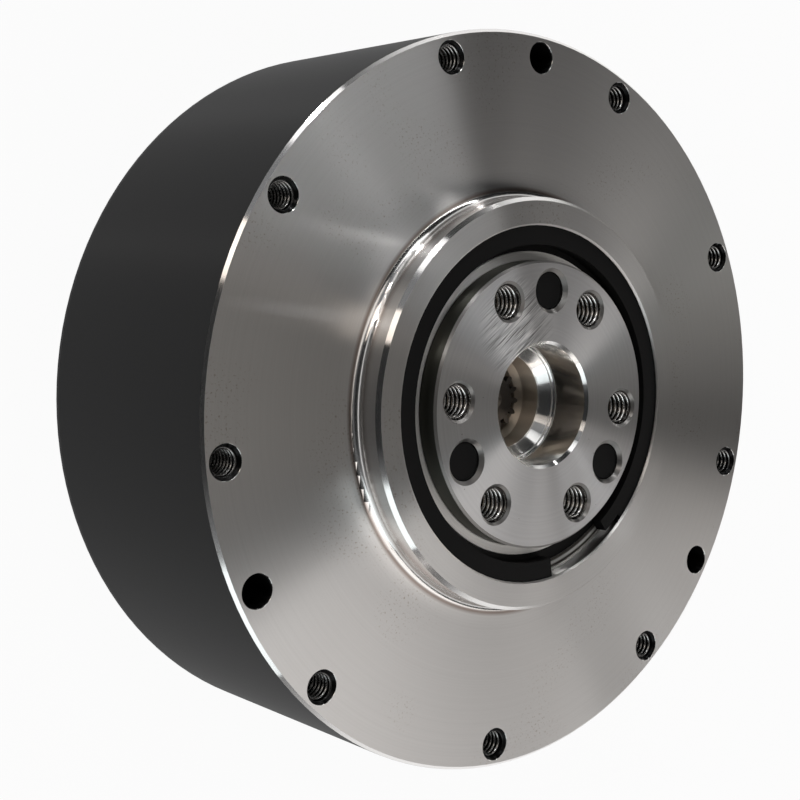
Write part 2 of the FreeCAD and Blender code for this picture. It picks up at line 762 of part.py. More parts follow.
def make_carrier_rear():
    """Rear plate with its three pillars, the bearing seat and countersunk screw holes."""
    floor = d.carrier_rear_floor.value
    top = d.carrier_rear_top.value
    thickness = top - floor
    height = d.carrier_front_floor.value - top
    foot = V(d.output_circle.value, 0, floor)
    plate = Part.makeCylinder(d.carrier_radius.value, thickness, V(0, 0, floor))
    plate = plate.cut(Part.makeCylinder(d.pilot_outside.value, thickness, V(0, 0, floor)))
    pillar = pillar_outline().extrude(V(0, 0, height))
    pillar.translate(V(0, 0, top))
    pillars = copies_round_axis(pillar, d.planets, PILLAR_ANGLE)
    screw = d.carrier_screw.value
    sink_radius = d.carrier_head.value + LOOSE
    screw_hole = Part.makeCylinder(screw, height + thickness, foot)
    sink = Part.makeCone(sink_radius, screw, sink_radius - screw, foot)
    screw_holes = copies_round_axis(screw_hole.fuse(sink), d.planets, PILLAR_ANGLE)
    pin_hole = Part.makeCylinder(d.pin_radius.value, thickness, foot)
    pin_holes = copies_round_axis(pin_hole, d.planets, DOWEL_ANGLE)
    shape = plate.fuse(pillars.Solids).removeSplitter().cut(screw_holes).cut(pin_holes)
    solid_feature("carrier_rear_plate", shape)


def make_carrier_screws():
    screw = flat_head_screw(d.output_circle.value, d.carrier_head.value,
                            d.carrier_screw.value - 2 * CLOSE, d.carrier_screw_length.value,
                            d.carrier_rear_floor.value + SLIDING)
    solid_feature("carrier_screws", copies_round_axis(screw, d.planets, PILLAR_ANGLE))


def make_planet_pins():
    """Plain pins with a small bevel at each end."""
    floor = d.carrier_rear_floor.value + 0.2
    top = d.output_height.value - d.pin_recess.value
    pin = Part.makeCylinder(d.pin_radius.value - TIGHT, top - floor,
                            V(d.output_circle.value, 0, floor))
    rims = [edge for edge in pin.Edges if isinstance(edge.Curve, Part.Circle)]
    pin = pin.makeChamfer(d.pin_edge.value, rims)
    solid_feature("planet_pins", copies_round_axis(pin, d.planets, DOWEL_ANGLE))


def make_thrust_washers():
    """One washer on each side of every planet."""
    thickness = d.washer_thickness.value
    washers = []
    for height in (d.carrier_rear_top.value, d.carrier_front_floor.value - thickness):
        foot = V(d.output_circle.value, 0, height)
        disc = Part.makeCylinder(d.washer_radius.value, thickness, foot)
        hole = Part.makeCylinder(d.pin_radius.value + CLOSE, thickness, foot)
        washers.extend(copies_round_axis(disc.cut(hole), d.planets, DOWEL_ANGLE).Solids)
    solid_feature("thrust_washers", Part.makeCompound(washers))


# Gears -------------------------------------------------------------------------------------

PRESSURE_ANGLE = math.radians(20.0)
ADDENDUM = 1.0
DEDENDUM = 1.25
ROOT_LEAN = 0.8

# Conical centre that a lathe leaves in the sun gear's end, radius and depth.
LATHE_CENTRE = 1.2


def polar(radius, angle):
    return V(radius * math.cos(angle), radius * math.sin(angle), 0)


def involute(angle):
    return math.tan(angle) - angle


def tooth_outline(teeth, thinning, above, below):
    """Face of a gear whose first tooth points along +X.

    above and below are the heights of tip and root from the pitch circle, in modules. thinning
    is taken off the tooth's thickness there. Under the base circle a flank leans inwards a
    little, as a cut tooth does there.
    """
    module = d.gear_module.value
    pitch_radius = module * teeth / 2
    base = pitch_radius * math.cos(PRESSURE_ANGLE)
    root = pitch_radius - below * module
    tip = pitch_radius + above * module
    half_at_pitch = (math.pi * module / 2 - thinning) / (2 * pitch_radius)
    start = max(root, base)
    flank = []
    if root < base:
        flank.append((root, ROOT_LEAN))
    for share in (0.0, 0.5, 1.0):
        flank.append((start + share * (tip - start), 1.0))
    points = []
    for number in range(teeth):
        centre = 2 * math.pi * number / teeth
        half_angles = []
        for radius, lean in flank:
            local = math.acos(min(1.0, base / radius))
            half = half_at_pitch + involute(PRESSURE_ANGLE) - involute(local)
            half_angles.append((radius, half * lean))
        for radius, half in half_angles:
            points.append(polar(radius, centre - half))
        for radius, half in reversed(half_angles):
            points.append(polar(radius, centre + half))
    points.append(points[0])
    return Part.Face(Part.makePolygon(points))


def make_ring_gear():
    floor = d.ring_floor.value
    width = d.ring_top.value - floor
    blank = Part.makeCylinder(d.ring_seat.value - TIGHT, width, V(0, 0, floor))
    spaces = tooth_outline(int(d.ring_teeth.value), -d.tooth_play.value, DEDENDUM, ADDENDUM)
    spaces.translate(V(0, 0, floor))
    solid_feature("ring_gear", blank.cut(spaces.extrude(V(0, 0, width))))


def make_sun_gear():
    collar_floor = d.hub_top.value
    tooth_floor = d.carrier_rear_top.value + LOOSE
    floor = d.rotor_bearing_floor.value - HUB_OVERHANG
    teeth = tooth_outline(int(d.sun_teeth.value), d.tooth_play.value, ADDENDUM, DEDENDUM)
    teeth.translate(V(0, 0, tooth_floor))
    toothed = teeth.extrude(V(0, 0, d.sun_top.value - tooth_floor))
    shaft = Part.makeCylinder(d.hub_bore.value, collar_floor - floor, V(0, 0, floor))
    collar = Part.makeCylinder(d.pilot_bore.value, tooth_floor - collar_floor,
                               V(0, 0, collar_floor))
    centre = Part.makeCone(0.0, LATHE_CENTRE, LATHE_CENTRE, V(0, 0, d.sun_top.value - LATHE_CENTRE))
    solid_feature("sun_gear", toothed.fuse([shaft, collar]).cut(centre))


def make_planets():
    floor = d.carrier_rear_top.value + d.washer_thickness.value + d.planet_play.value
    top = d.carrier_front_floor.value - d.washer_thickness.value - d.planet_play.value
    width = top - floor
    depth = d.planet_recess.value
    teeth = tooth_outline(int(d.planet_teeth.value), d.tooth_play.value, ADDENDUM, DEDENDUM)
    gear = teeth.extrude(V(0, 0, width))
    gear = gear.cut(Part.makeCylinder(d.planet_bore.value, width))
    for height in (0.0, width - depth):
        recess = Part.makeCylinder(d.planet_rim.value, depth, V(0, 0, height))
        recess = recess.cut(Part.makeCylinder(d.planet_hub.value, depth, V(0, 0, height)))
        gear = gear.cut(recess)
    bush = Part.makeCylinder(d.planet_bore.value, width)
    bush = bush.cut(Part.makeCylinder((d.pin_radius + d.bush_play).value, width))
    for number in range(int(d.planets.value)):
        angle = math.radians(DOWEL_ANGLE + 360.0 * number / d.planets.value)
        place = polar(d.output_circle.value, angle) + V(0, 0, floor)
        for name, shape in (("planet_gear", gear), ("planet_bush", bush)):
            placed = shape.copy()
            placed.translate(place)
            solid_feature("%s_%d" % (name, number + 1), placed)


# Motor -------------------------------------------------------------------------------------

def make_stator_core():
    """Yoke with its teeth; every tooth widens to a shoe that faces the magnets."""
    body = new_body("stator_core")
    length = d.stator_top - d.stator_floor
    yoke = new_sketch(body, "yoke", "XY_Plane", d.stator_floor)
    draw_circle(yoke, 0, 0, d.stator_yoke)
    draw_circle(yoke, 0, 0, d.sleeve_radius)
    extrude(body, yoke, length, "yoke_pad")
    tooth = new_sketch(body, "tooth", "XY_Plane", d.stator_floor)
    root = d.stator_yoke - 0.6
    neck = d.stator_radius - 1.3
    edge = d.stator_radius - 0.8
    half = d.tooth_width / 2
    shoe = d.shoe_width / 2
    draw_outline(tooth, [
        (root, -half), (neck, -half), (edge, -shoe), (d.stator_radius, -shoe),
        (d.stator_radius, shoe), (edge, shoe), (neck, half), (root, half)])
    pad = extrude(body, tooth, length, "tooth_pad")
    repeat(body, pad, tooth, d.stator_slots, "teeth")


def make_stator_coils():
    """One coil round every tooth, drawn as a frame with bevelled long edges."""
    reach = (d.coil_end - d.coil_start).value
    thickness = d.coil_thickness.value
    half = (d.tooth_width / 2 + d.coil_play).value
    length = (d.stator_top - d.stator_floor + d.coil_play * 2).value
    floor = (d.stator_floor - d.coil_play).value
    start = d.coil_start.value
    outer = Part.makeBox(reach, 2 * (half + thickness), length + 2 * thickness,
                         V(start, -half - thickness, floor - thickness))
    outer = outer.makeChamfer(d.coil_corner.value, edges_along(outer, V(1, 0, 0)))
    inner = Part.makeBox(reach, 2 * half, length, V(start, -half, floor))
    solid_feature("stator_coils", copies_round_axis(outer.cut(inner), d.stator_slots))


def make_rotor_hub():
    """Disc that carries the rotor ring, raised in the middle over the rear bearing."""
    floor = d.rotor_bearing_floor - HUB_OVERHANG
    shoulder = d.rotor_bearing_floor + d.rotor_bearing_width
    collar = d.hub_seat + 1.0
    roof = d.hub_top - d.cup_roof
    web_top = d.rotor_floor + d.rotor_web
    body = revolve("rotor_hub", [
        (d.hub_bore, floor),
        (d.hub_seat, floor),
        (d.hub_seat, shoulder),
        (collar, shoulder),
        (collar, roof),
        (d.cup_radius - d.cup_wall, roof),
        (d.cup_radius - d.cup_wall, d.rotor_floor),
        (d.rotor_inside, d.rotor_floor),
        (d.rotor_inside, web_top),
        (d.cup_radius, web_top),
        (d.cup_radius, d.hub_top),
        (d.hub_bore, d.hub_top),
    ])
    drill(body, "lightening", d.lightening_circle, 0.0, d.lightening_count, d.lightening_radius,
          web_top, d.rotor_web)


def make_rotor_ring():
    revolve("rotor_ring", [
        (d.rotor_inside, d.rotor_floor), (d.rotor_radius, d.rotor_floor),
        (d.rotor_radius, d.rotor_top), (d.rotor_inside, d.rotor_top)])


def make_magnets():
    """Flat magnets inside the rotor ring, and the round one that the encoder reads."""
    body = new_body("rotor_magnets")
    sketch = new_sketch(body, "magnet", "XY_Plane", d.magnet_floor)
    back = d.rotor_inside - 0.15
    half = d.magnet_width / 2
    draw_outline(sketch, [(d.magnet_inside, -half), (back, -half),
                          (back, half), (d.magnet_inside, half)])
    pad = extrude(body, sketch, d.magnet_top - d.magnet_floor, "magnet_pad")
    repeat(body, pad, sketch, d.magnet_count, "magnets")
    top = d.rotor_bearing_floor - HUB_OVERHANG
    floor = top - d.encoder_magnet_width
    revolve("encoder_magnet", [
        (0, floor), (d.encoder_magnet_radius, floor), (d.encoder_magnet_radius, top), (0, top)])


# Electronics -------------------------------------------------------------------------------

def make_driver_board():
    body = new_body("driver_board")
    sketch = new_sketch(body, "disc", "XY_Plane", d.board_floor)
    draw_circle(sketch, 0, 0, d.board_radius)
    extrude(body, sketch, d.board_thickness, "plate")
    top = d.board_floor + d.board_thickness
    drill(body, "screw", d.board_screw_circle, BOARD_SCREW_ANGLE, d.board_screws,
          d.board_screw + LOOSE, top, d.board_thickness)
    cut_windows(body, top, d.board_thickness, 0.1)


def make_board_screws():
    """Screws with cylindrical heads, put in from the rear."""
    head_radius = 1.8
    head_height = 0.9
    length = 4.0
    circle = d.board_screw_circle.value
    floor = d.board_floor.value
    head = Part.makeCylinder(head_radius, head_height, V(circle, 0, floor - head_height))
    shank = Part.makeCylinder(d.board_screw.value - CLOSE, length, V(circle, 0, floor))
    screws = copies_round_axis(head.fuse(shank), d.board_screws, BOARD_SCREW_ANGLE)
    solid_feature("board_screws", screws)


def flat_chip(width, depth, height, x, y):
    """Chip package on the board's front side, centred on (x, y)."""
    top = (d.board_floor + d.board_thickness).value
    return Part.makeBox(width, depth, height, V(x - width / 2, y - depth / 2, top))


def make_board_components():
    transistors = copies_round_axis(flat_chip(6.0, 5.0, 1.0, 24.0, 0.0), 6, 30.0)
    solid_feature("power_transistors", transistors)
    solid_feature("encoder_chip", flat_chip(5.0, 5.0, 0.8, 0.0, 0.0))
    solid_feature("controller_chip", flat_chip(7.0, 7.0, 1.0, 0.0, 13.5))
    can_circle = 31.5
    can_radius = 3.1
    can_height = 2.4
    top = V(0, 0, (d.board_floor + d.board_thickness).value)
    cans = []
    for number in range(5):
        place = polar(can_circle, math.radians(20.0 + 35.0 * number)) + top
        cans.append(Part.makeCylinder(can_radius, can_height, place))
    solid_feature("bus_capacitors", Part.makeCompound(cans))


def make_power_socket():
    """Block with two round contact holes."""
    contact_radius = 1.05
    contact_spacing = 5.0
    contact_depth = 4.5
    block = POWER_SOCKET.block()
    for side in (-0.5, 0.5):
        place = V(POWER_SOCKET.x + side * contact_spacing, POWER_SOCKET.y, SOCKET_FLOOR)
        block = block.cut(Part.makeCylinder(contact_radius, contact_depth, place))
    solid_feature("power_socket", block)


def make_signal_sockets():
    """Two open shells with a thin wall."""
    wall = 0.7
    depth = 4.6
    shells = []
    for socket in SIGNAL_SOCKETS:
        corner = socket.corners(-wall)[0]
        hollow = Part.makeBox(socket.width - 2 * wall, socket.depth - 2 * wall, depth,
                              V(corner[0], corner[1], SOCKET_FLOOR))
        shells.append(socket.block().cut(hollow))
    solid_feature("signal_sockets", Part.makeCompound(shells))


# Build, check and write --------------------------------------------------------------------

def check_document():
    for item in doc.Objects:
        for state in ("Invalid", "Error"):
            if state in item.State:
                raise ValueError("%s is %s" % (item.Name, state))
    for node in NODES:
        shape = node.Shape
        if shape.isNull() or not shape.isValid() or not shape.Solids:
            raise ValueError("no sound solid in " + node.Label)


def write_parts():
    os.makedirs("parts", exist_ok=True)
    for node in NODES:
        shape = node.Shape
        shape.exportStep("parts/%s.step" % node.Label)
        print("%-28s %2d solids %10.1f mm3" % (node.Label, len(shape.Solids), shape.Volume))


def main():
    make_front_housing()
    make_snap_ring()
    make_rear_housing()
    make_rear_cover()
    make_rear_cover_screws()
    make_bearings()
    make_output_flange()
    make_carrier_front()
    make_carrier_rear()
    make_carrier_screws()
    make_planet_pins()
    make_thrust_washers()
    make_ring_gear()
    make_sun_gear()
    make_planets()
    make_stator_core()
    make_stator_coils()
    make_rotor_hub()
    make_rotor_ring()
    make_magnets()
    make_driver_board()
    make_board_screws()
    make_board_components()
    make_power_socket()
    make_signal_sockets()
    doc.recompute()
    check_document()
    write_parts()


main()
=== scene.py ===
# %% [markdown]
# # A joint actuator for a robot
# This lesson dresses a packed mechanical model: a flat round motor with a planetary gear inside. The
# frame already holds every rigid piece at its real size, so what is left is the look of each surface
# and the small repeated shapes, such as screw threads, that a construction model leaves out.

# %% Load the frame
import json
import math
from collections import namedtuple

import bpy
from mathutils import Matrix, Vector


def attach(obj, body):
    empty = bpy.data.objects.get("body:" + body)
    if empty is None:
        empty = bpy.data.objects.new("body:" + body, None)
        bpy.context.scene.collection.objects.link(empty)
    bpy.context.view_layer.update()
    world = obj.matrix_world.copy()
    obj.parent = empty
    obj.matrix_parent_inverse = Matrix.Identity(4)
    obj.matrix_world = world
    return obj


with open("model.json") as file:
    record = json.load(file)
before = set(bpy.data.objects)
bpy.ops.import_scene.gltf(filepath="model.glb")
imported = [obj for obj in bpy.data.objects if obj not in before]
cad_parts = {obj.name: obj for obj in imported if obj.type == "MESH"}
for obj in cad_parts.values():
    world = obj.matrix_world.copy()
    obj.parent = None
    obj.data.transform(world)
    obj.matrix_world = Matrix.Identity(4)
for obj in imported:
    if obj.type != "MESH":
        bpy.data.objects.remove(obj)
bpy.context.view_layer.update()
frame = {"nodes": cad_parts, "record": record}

MM = 0.001

nodes = frame["nodes"]

# %% [markdown]
# ## Sizes from the record
# The record says where the model's holes and faces are. Heights and hole circles are read from it, so
# that nothing has to be measured a second time, and they are turned into millimetres, in which a
# maker thinks.

# %% Faces and hole circles
mounts = {mount["name"]: mount for mount in frame["record"]["mounts"]}
FRONT_FACE = mounts["front_face"]["pos_m"][2] / MM
OUTPUT_FACE = mounts["output_face"]["pos_m"][2] / MM


def hole_circle(name):
    """Radius, number of holes and height of one circle of holes, in millimetres."""
    sizes = mounts[name]["dims"]
    return {"Circle Radius": sizes["pcd_mm"] / 2, "Holes": sizes["count"],
            "Top": mounts[name]["pos_m"][2] / MM}


# Thread sizes in millimetres, a little narrower than a tap cuts them, and the angle of the first hole.
M4_HOLES = {"Thread Radius": 1.86, "Core Radius": 1.5, "Pitch": 0.7, "Depth": 8.4, "Mouth Radius": 2.2,
            "Start Angle": math.radians(30), **hole_circle("casing_bolts")}
M5_HOLES = {"Thread Radius": 2.36, "Core Radius": 1.98, "Pitch": 0.8, "Depth": 10.0, "Mouth Radius": 2.7,
            "Start Angle": 0.0, **hole_circle("output_bolts")}
print("faces at", FRONT_FACE, "and", OUTPUT_FACE, "mm,", M4_HOLES["Holes"], "+", M5_HOLES["Holes"], "threads")

# %% [markdown]
# ## Small helpers
# Colours are written as sRGB hex values, the way a colour picker shows them, and the shader wants
# them linear. A material is a tree of nodes, and one function is enough to add any kind of node: its
# settings are named arguments, and each of its inputs gets a plain value, a hex colour or a link.

# %% Colours and nodes
def linear(hex_colour):
    """The linear colour of an sRGB hex value such as '#8a8c90'."""
    levels = [int(hex_colour[i:i + 2], 16) / 255 for i in (1, 3, 5)]
    return [v / 12.92 if v <= 0.04045 else ((v + 0.055) / 1.055) ** 2.4 for v in levels] + [1.0]


def add(tree, kind, inputs=(), **settings):
    """Adds a node with its settings, fills its inputs by name or by order, and returns its outputs."""
    node = tree.nodes.new(kind)
    for name, value in settings.items():
        setattr(node, name, value)
    for socket, value in (inputs.items() if isinstance(inputs, dict) else enumerate(inputs)):
        if isinstance(value, bpy.types.NodeSocket):
            tree.links.new(value, node.inputs[socket])
        else:
            node.inputs[socket].default_value = linear(value) if isinstance(value, str) else value
    return node.outputs


print("mid grey is", round(linear("#808080")[0], 3), "in linear light")

# %% [markdown]
# ## The camera
# The actuator lies on its rear face, and it is seen from its upper left, through a lens a little
# longer than normal. A camera can be turned by angles or by a constraint, but its own position and
# the point that it looks at say more to a reader, and a third direction says which way is up.

# %% Camera
EYE = Vector((-134.7, 6.8, 174.7)) * MM
AIM = Vector((-14.2, 4.4, 36.0)) * MM
UP_HINT = Vector((-0.042, 0.998, -0.054))
LENS = 65.0
SIDE_SHIFT = -0.05
RISE_SHIFT = -0.044
NEAREST = 10 * MM


def stand(thing, right, up, back, spot):
    """Stands a camera or a lamp, which looks along minus its third axis, at a spot in the scene."""
    thing.matrix_world = Matrix((right, up, back)).transposed().to_4x4()
    thing.matrix_world.translation = spot
    bpy.context.scene.collection.objects.link(thing)


camera_data = bpy.data.cameras.new("camera")
camera_data.lens = LENS
camera_data.shift_x = SIDE_SHIFT
camera_data.shift_y = RISE_SHIFT
camera_data.clip_start = NEAREST
camera = bpy.data.objects.new("camera", camera_data)
forward = (AIM - EYE).normalized()
right = forward.cross(UP_HINT).normalized()
stand(camera, right, right.cross(forward), -forward, EYE)
bpy.context.scene.camera = camera
print("camera", round((AIM - EYE).length / MM), "mm from the front face")

# %% [markdown]
# ## The studio
# Bare metal has no look of its own: it shows the room. A turned face spreads what it mirrors along
# its radius, so each soft panel becomes a bright sector, and the gaps between panels become dark
# ones. The floor is white for the camera and for mirror rays, and a part of it takes light as paper
# does, which keeps a soft shadow. A white that came from more light would wash out the object.

# %% Floor
FLOOR_SIDE = 4.0
FLOOR_GAP = 0.2 * MM
GLOW_SHARE = 0.95


def ray_masks(tree):
    """Two masks: rays straight from the camera, and rays that come by a mirror or through glass."""
    rays = add(tree, "ShaderNodeLightPath")
    mirrored = add(tree, "ShaderNodeMath", [rays["Is Glossy Ray"], rays["Is Transmission Ray"]],
                   operation="MAXIMUM")
    return rays["Is Camera Ray"], mirrored[0]


half = FLOOR_SIDE / 2
corners = [(x, y, -FLOOR_GAP) for x, y in ((-half, -half), (half, -half), (half, half), (-half, half))]
floor_mesh = bpy.data.meshes.new("floor")
floor_mesh.from_pydata(corners, [], [(0, 1, 2, 3)])
floor = bpy.data.objects.new("floor", floor_mesh)
bpy.context.scene.collection.objects.link(floor)

paper = bpy.data.materials.new("white_paper_sweep")
paper.use_nodes = True
tree = paper.node_tree
tree.nodes.clear()
seen = add(tree, "ShaderNodeMath", ray_masks(tree), operation="MAXIMUM")
share = add(tree, "ShaderNodeMath", [seen[0], GLOW_SHARE], operation="MULTIPLY")
sheet = add(tree, "ShaderNodeBsdfDiffuse", {"Color": "#f2f2f2"})
glow = add(tree, "ShaderNodeEmission", {"Color": "#ffffff", "Strength": 1.0})
blend = add(tree, "ShaderNodeMixShader", [share[0], sheet[0], glow[0]])
add(tree, "ShaderNodeOutputMaterial", {"Surface": blend[0]})
floor_mesh.materials.append(paper)
print("floor", FLOOR_SIDE, "m wide")

# %% [markdown]
# The world behind the floor is white where the camera looks at it. For light it is a dim room, darkest
# behind the camera, where the viewer stands, and mirror rays also find the white sweep just above the
# horizon.

# %% World
ROOM_LEVEL = 0.015
LEFT_ROOM_LEVEL = 0.20
LEFT_REACH = -0.4
# The direction to the viewer, and the angles from it at which the room begins to darken and is darkest.
SHADE = Vector((-0.80, 0.0, 0.60))
SHADE_START = math.cos(math.radians(38))
SHADE_CORE = math.cos(math.radians(22))
SHADE_LEVEL = 0.1
SWEEP_TOP = math.sin(math.radians(6.0))

world = bpy.data.worlds.new("studio")
world.use_nodes = True
tree = world.node_tree
tree.nodes.clear()
direction = add(tree, "ShaderNodeTexCoord")["Generated"]
along = add(tree, "ShaderNodeSeparateXYZ", [direction])
level = add(tree, "ShaderNodeMapRange", {"Value": along["X"], "From Min": 0.0, "From Max": LEFT_REACH,
                                         "To Min": ROOM_LEVEL, "To Max": LEFT_ROOM_LEVEL})
near = add(tree, "ShaderNodeVectorMath", [direction, SHADE], operation="DOT_PRODUCT")["Value"]
shade = add(tree, "ShaderNodeMapRange", {"Value": near, "From Min": SHADE_START, "From Max": SHADE_CORE,
                                         "To Min": 1.0, "To Max": SHADE_LEVEL})
level = add(tree, "ShaderNodeMath", [level[0], shade[0]], operation="MULTIPLY")
sweep = add(tree, "ShaderNodeMapRange", {"Value": along["Z"], "From Min": 2.0 * SWEEP_TOP,
                                         "From Max": SWEEP_TOP, "To Min": 0.0, "To Max": 1.0})
straight, mirrored = ray_masks(tree)
sweep = add(tree, "ShaderNodeMath", [sweep[0], mirrored], operation="MULTIPLY")
white_share = add(tree, "ShaderNodeMath", [sweep[0], straight], operation="MAXIMUM")
room = add(tree, "ShaderNodeBackground", {"Color": "#fafcff", "Strength": level[0]})
white = add(tree, "ShaderNodeBackground", {"Color": "#ffffff", "Strength": 1.0})
blend = add(tree, "ShaderNodeMixShader", [white_share[0], room[0], white[0]])
add(tree, "ShaderNodeOutputWorld", {"Surface": blend[0]})
bpy.context.scene.world = world
print("room level", ROOM_LEVEL, "to", LEFT_ROOM_LEVEL)

# %% [markdown]
# The panels are area lamps a metre away that face the object. Emitting planes would do as well, but
# lamps give less noise and the camera doesn't see them. A narrow bright one gives a sharp light edge,
# and a wide dim one fills a sector of the turned faces.

# %% Soft panels
PANELS = {
    # name: azimuth, elevation and roll in degrees, width and height in metres, brightness, colour
    "key_panel": (-65, 46, 10, 1.23, 0.61, 1.18, "#fffbf8"),
    "side_panel": (-14, 31, 18, 0.17, 0.50, 1.54, "#fffaf6"),
    "strip": (58, 45, -66, 1.08, 0.036, 8.9, "#ffffff"),
    "low_panel": (18, 10, -48, 0.74, 0.27, 1.20, "#fcf9f3"),
    "ceiling_panel": (94, 81, -53, 1.05, 0.27, 0.84, "#fff9f2"),
    "far_window": (107, 24, 0, 0.30, 0.62, 1.2, "#ffffff"),
    "near_window": (146, 26, 0, 0.24, 0.70, 1.4, "#fff3e8"),
    "far_spot": (107, 16, 0, 0.09, 0.20, 22.0, "#ffffff"),
    "near_spot": (148, 10, 0, 0.07, 0.20, 16.0, "#ffffff"),
    "left_window": (-118, 30, 0, 0.50, 0.60, 1.15, "#f4fdff"),
}


def soft_panel(name, azimuth, elevation, roll, width, height, brightness, colour):
    """A rectangular lamp a metre away that faces the object and looks as bright as said."""
    around, rise = math.radians(azimuth), math.radians(elevation)
    away = Vector((math.cos(rise) * math.cos(around), math.cos(rise) * math.sin(around), math.sin(rise)))
    level = Vector((-math.sin(around), math.cos(around), 0))
    turned = Matrix.Rotation(math.radians(roll), 3, away)
    lamp = bpy.data.lights.new(name, "AREA")
    lamp.shape = "RECTANGLE"
    lamp.size = width
    lamp.size_y = height
    # A lamp's power is its brightness times pi times its area.
    lamp.energy = brightness * math.pi * width * height
    lamp.color = linear(colour)[:3]
    panel = bpy.data.objects.new(name, lamp)
    panel.visible_camera = False
    stand(panel, turned @ level, turned @ away.cross(level), away, away)


for name, values in PANELS.items():
    soft_panel(name, *values)
print(len(PANELS), "panels")

# %% [markdown]
# ## Making and wearing a finish
# Every finish is one Principled BSDF. What is the same all over a surface is set on the shader's own
# inputs, and what changes from place to place is linked to them. A CAD node keeps its shape and gets
# its look by a material in its slots.

# %% Finishes
# Oxide, phosphate and rubber are full of pores, which trap most of a reflection.
POROUS_SPECULAR = 0.15


def new_finish(name, **values):
    """A new material: its node tree and its one shader, with the shader's constant values set."""
    material = bpy.data.materials.new(name)
    material.use_nodes = True
    shader = material.node_tree.nodes["Principled BSDF"]
    for socket, value in values.items():
        shader.inputs[socket.replace("_", " ")].default_value = value
    return material, material.node_tree, shader


def connect(tree, shader, **sources):
    """Links the shader's inputs to the outputs that drive them."""
    for socket, source in sources.items():
        tree.links.new(source, shader.inputs[socket.replace("_", " ")])


def wear(material, *names):
    """Puts a material on every slot of the named nodes."""
    for name in names:
        for slot in nodes[name].material_slots:
            slot.material = material
    print(material.name, "on", ", ".join(names))


# %% [markdown]
# ## Where a point lies
# The finishes change from place to place on one piece: a face is turned, the wall beside it is
# polished, a hole is black inside. Painting masks by hand would tie them to one mesh, so every
# material works its masks out from the same few measures, in millimetres on the real part: how far a
# point is from the axis, how high, at which angle, and whether its surface lies level.

# %% Measures on the part
Place = namedtuple("Place", "radius height angle level point")


def place_on_part(tree):
    """Radius, height, angle in radians, levelness from 0 to 1 and the point itself, in millimetres."""
    coordinates = add(tree, "ShaderNodeTexCoord")
    point = add(tree, "ShaderNodeVectorMath", {0: coordinates["Object"], "Scale": 1 / MM},
                operation="SCALE")[0]
    along = add(tree, "ShaderNodeSeparateXYZ", [point])
    flat = add(tree, "ShaderNodeCombineXYZ", [along["X"], along["Y"]])
    radius = add(tree, "ShaderNodeVectorMath", [flat[0]], operation="LENGTH")["Value"]
    angle = add(tree, "ShaderNodeMath", [along["Y"], along["X"]], operation="ARCTAN2")[0]
    facing = add(tree, "ShaderNodeSeparateXYZ", [coordinates["Normal"]])
    level = add(tree, "ShaderNodeMath", [facing["Z"]], operation="ABSOLUTE")[0]
    return Place(radius, along["Z"], angle, level, point)


def hole_distance(tree, place, holes):
    """Distance from the middle of the nearest hole on a circle of holes."""
    half_step = math.pi / holes["Holes"]
    turned = add(tree, "ShaderNodeMath", [place.angle, holes["Start Angle"]], operation="SUBTRACT")
    wrapped = add(tree, "ShaderNodeMath", [turned[0], half_step, -half_step], operation="WRAP")
    cosine = add(tree, "ShaderNodeMath", [wrapped[0]], operation="COSINE")
    sine = add(tree, "ShaderNodeMath", [wrapped[0]], operation="SINE")
    outward = add(tree, "ShaderNodeMath", [place.radius, cosine[0], -holes["Circle Radius"]],
                  operation="MULTIPLY_ADD")
    sideways = add(tree, "ShaderNodeMath", [place.radius, sine[0]], operation="MULTIPLY")
    local = add(tree, "ShaderNodeCombineXYZ", [outward[0], sideways[0]])
    return add(tree, "ShaderNodeVectorMath", [local[0]], operation="LENGTH")["Value"]


# %% [markdown]
# A mask is a zone between limits of those measures, and a look is built as paint is: a base with
# layers over it, each as strong as its mask.

# %% Zones and layers
# Limits in millimetres that lie outside the part on both sides.
LOWEST = -100.0
HIGHEST = 100.0


def zone(tree, place, **limits):
    """A mask: 1 where each named measure lies between its two limits, and 0 elsewhere."""
    inside = 1.0
    for measure, (low, high) in limits.items():
        fits = add(tree, "ShaderNodeMath", [getattr(place, measure), (low + high) / 2, (high - low) / 2],
                   operation="COMPARE")
        inside = add(tree, "ShaderNodeMath", [inside, fits[0]], operation="MULTIPLY")[0]
    return inside


def laid_over(tree, base, *layers, **settings):
    """A base value with others laid over it in turn, each with its mask."""
    for value, mask in layers:
        base = add(tree, "ShaderNodeMix", {"A": base, "B": value, "Factor": mask}, **settings)["Result"]
    return base


def painted(tree, base, *layers):
    """The same for colours: hex values or links."""
    return laid_over(tree, base, *layers, data_type="RGBA")


# %% [markdown]
# ## Turned aluminium and black anodising
# The casing is one turned piece: it was drilled, tapped and anodised black, and then its front was
# machined once more, which left bare metal there and black inside the holes. A lathe leaves fine
# rings. They could be cut into the mesh, but at a few hundredths of a millimetre they only spread a
# reflection along the radius, so the highlight is strongly stretched instead, and its tangent turned
# across the rings. The steps beside the faces were polished, and mirror the room almost sharply.

# %% What a lathe leaves
# The rings of a real cut are finer than this feed in millimetres. They are drawn as coarse as they
# need to be to show.
FEED = 0.35
FACE_ROUGHNESS = 0.283
POLISHED_ROUGHNESS = 0.13
# A quarter of a turn, from along the rings to across them.
ACROSS_THE_RINGS = 0.25
# The height of a full bump.
RELIEF = 0.1 * MM


def turned_finish(name, **values):
    """A new finish whose highlight is stretched across the rings of a piece turned about Z."""
    material, tree, shader = new_finish(name, Anisotropic_Rotation=ACROSS_THE_RINGS, **values)
    tangent = add(tree, "ShaderNodeTangent", direction_type="RADIAL", axis="Z")
    connect(tree, shader, Tangent=tangent[0])
    return material, tree, shader


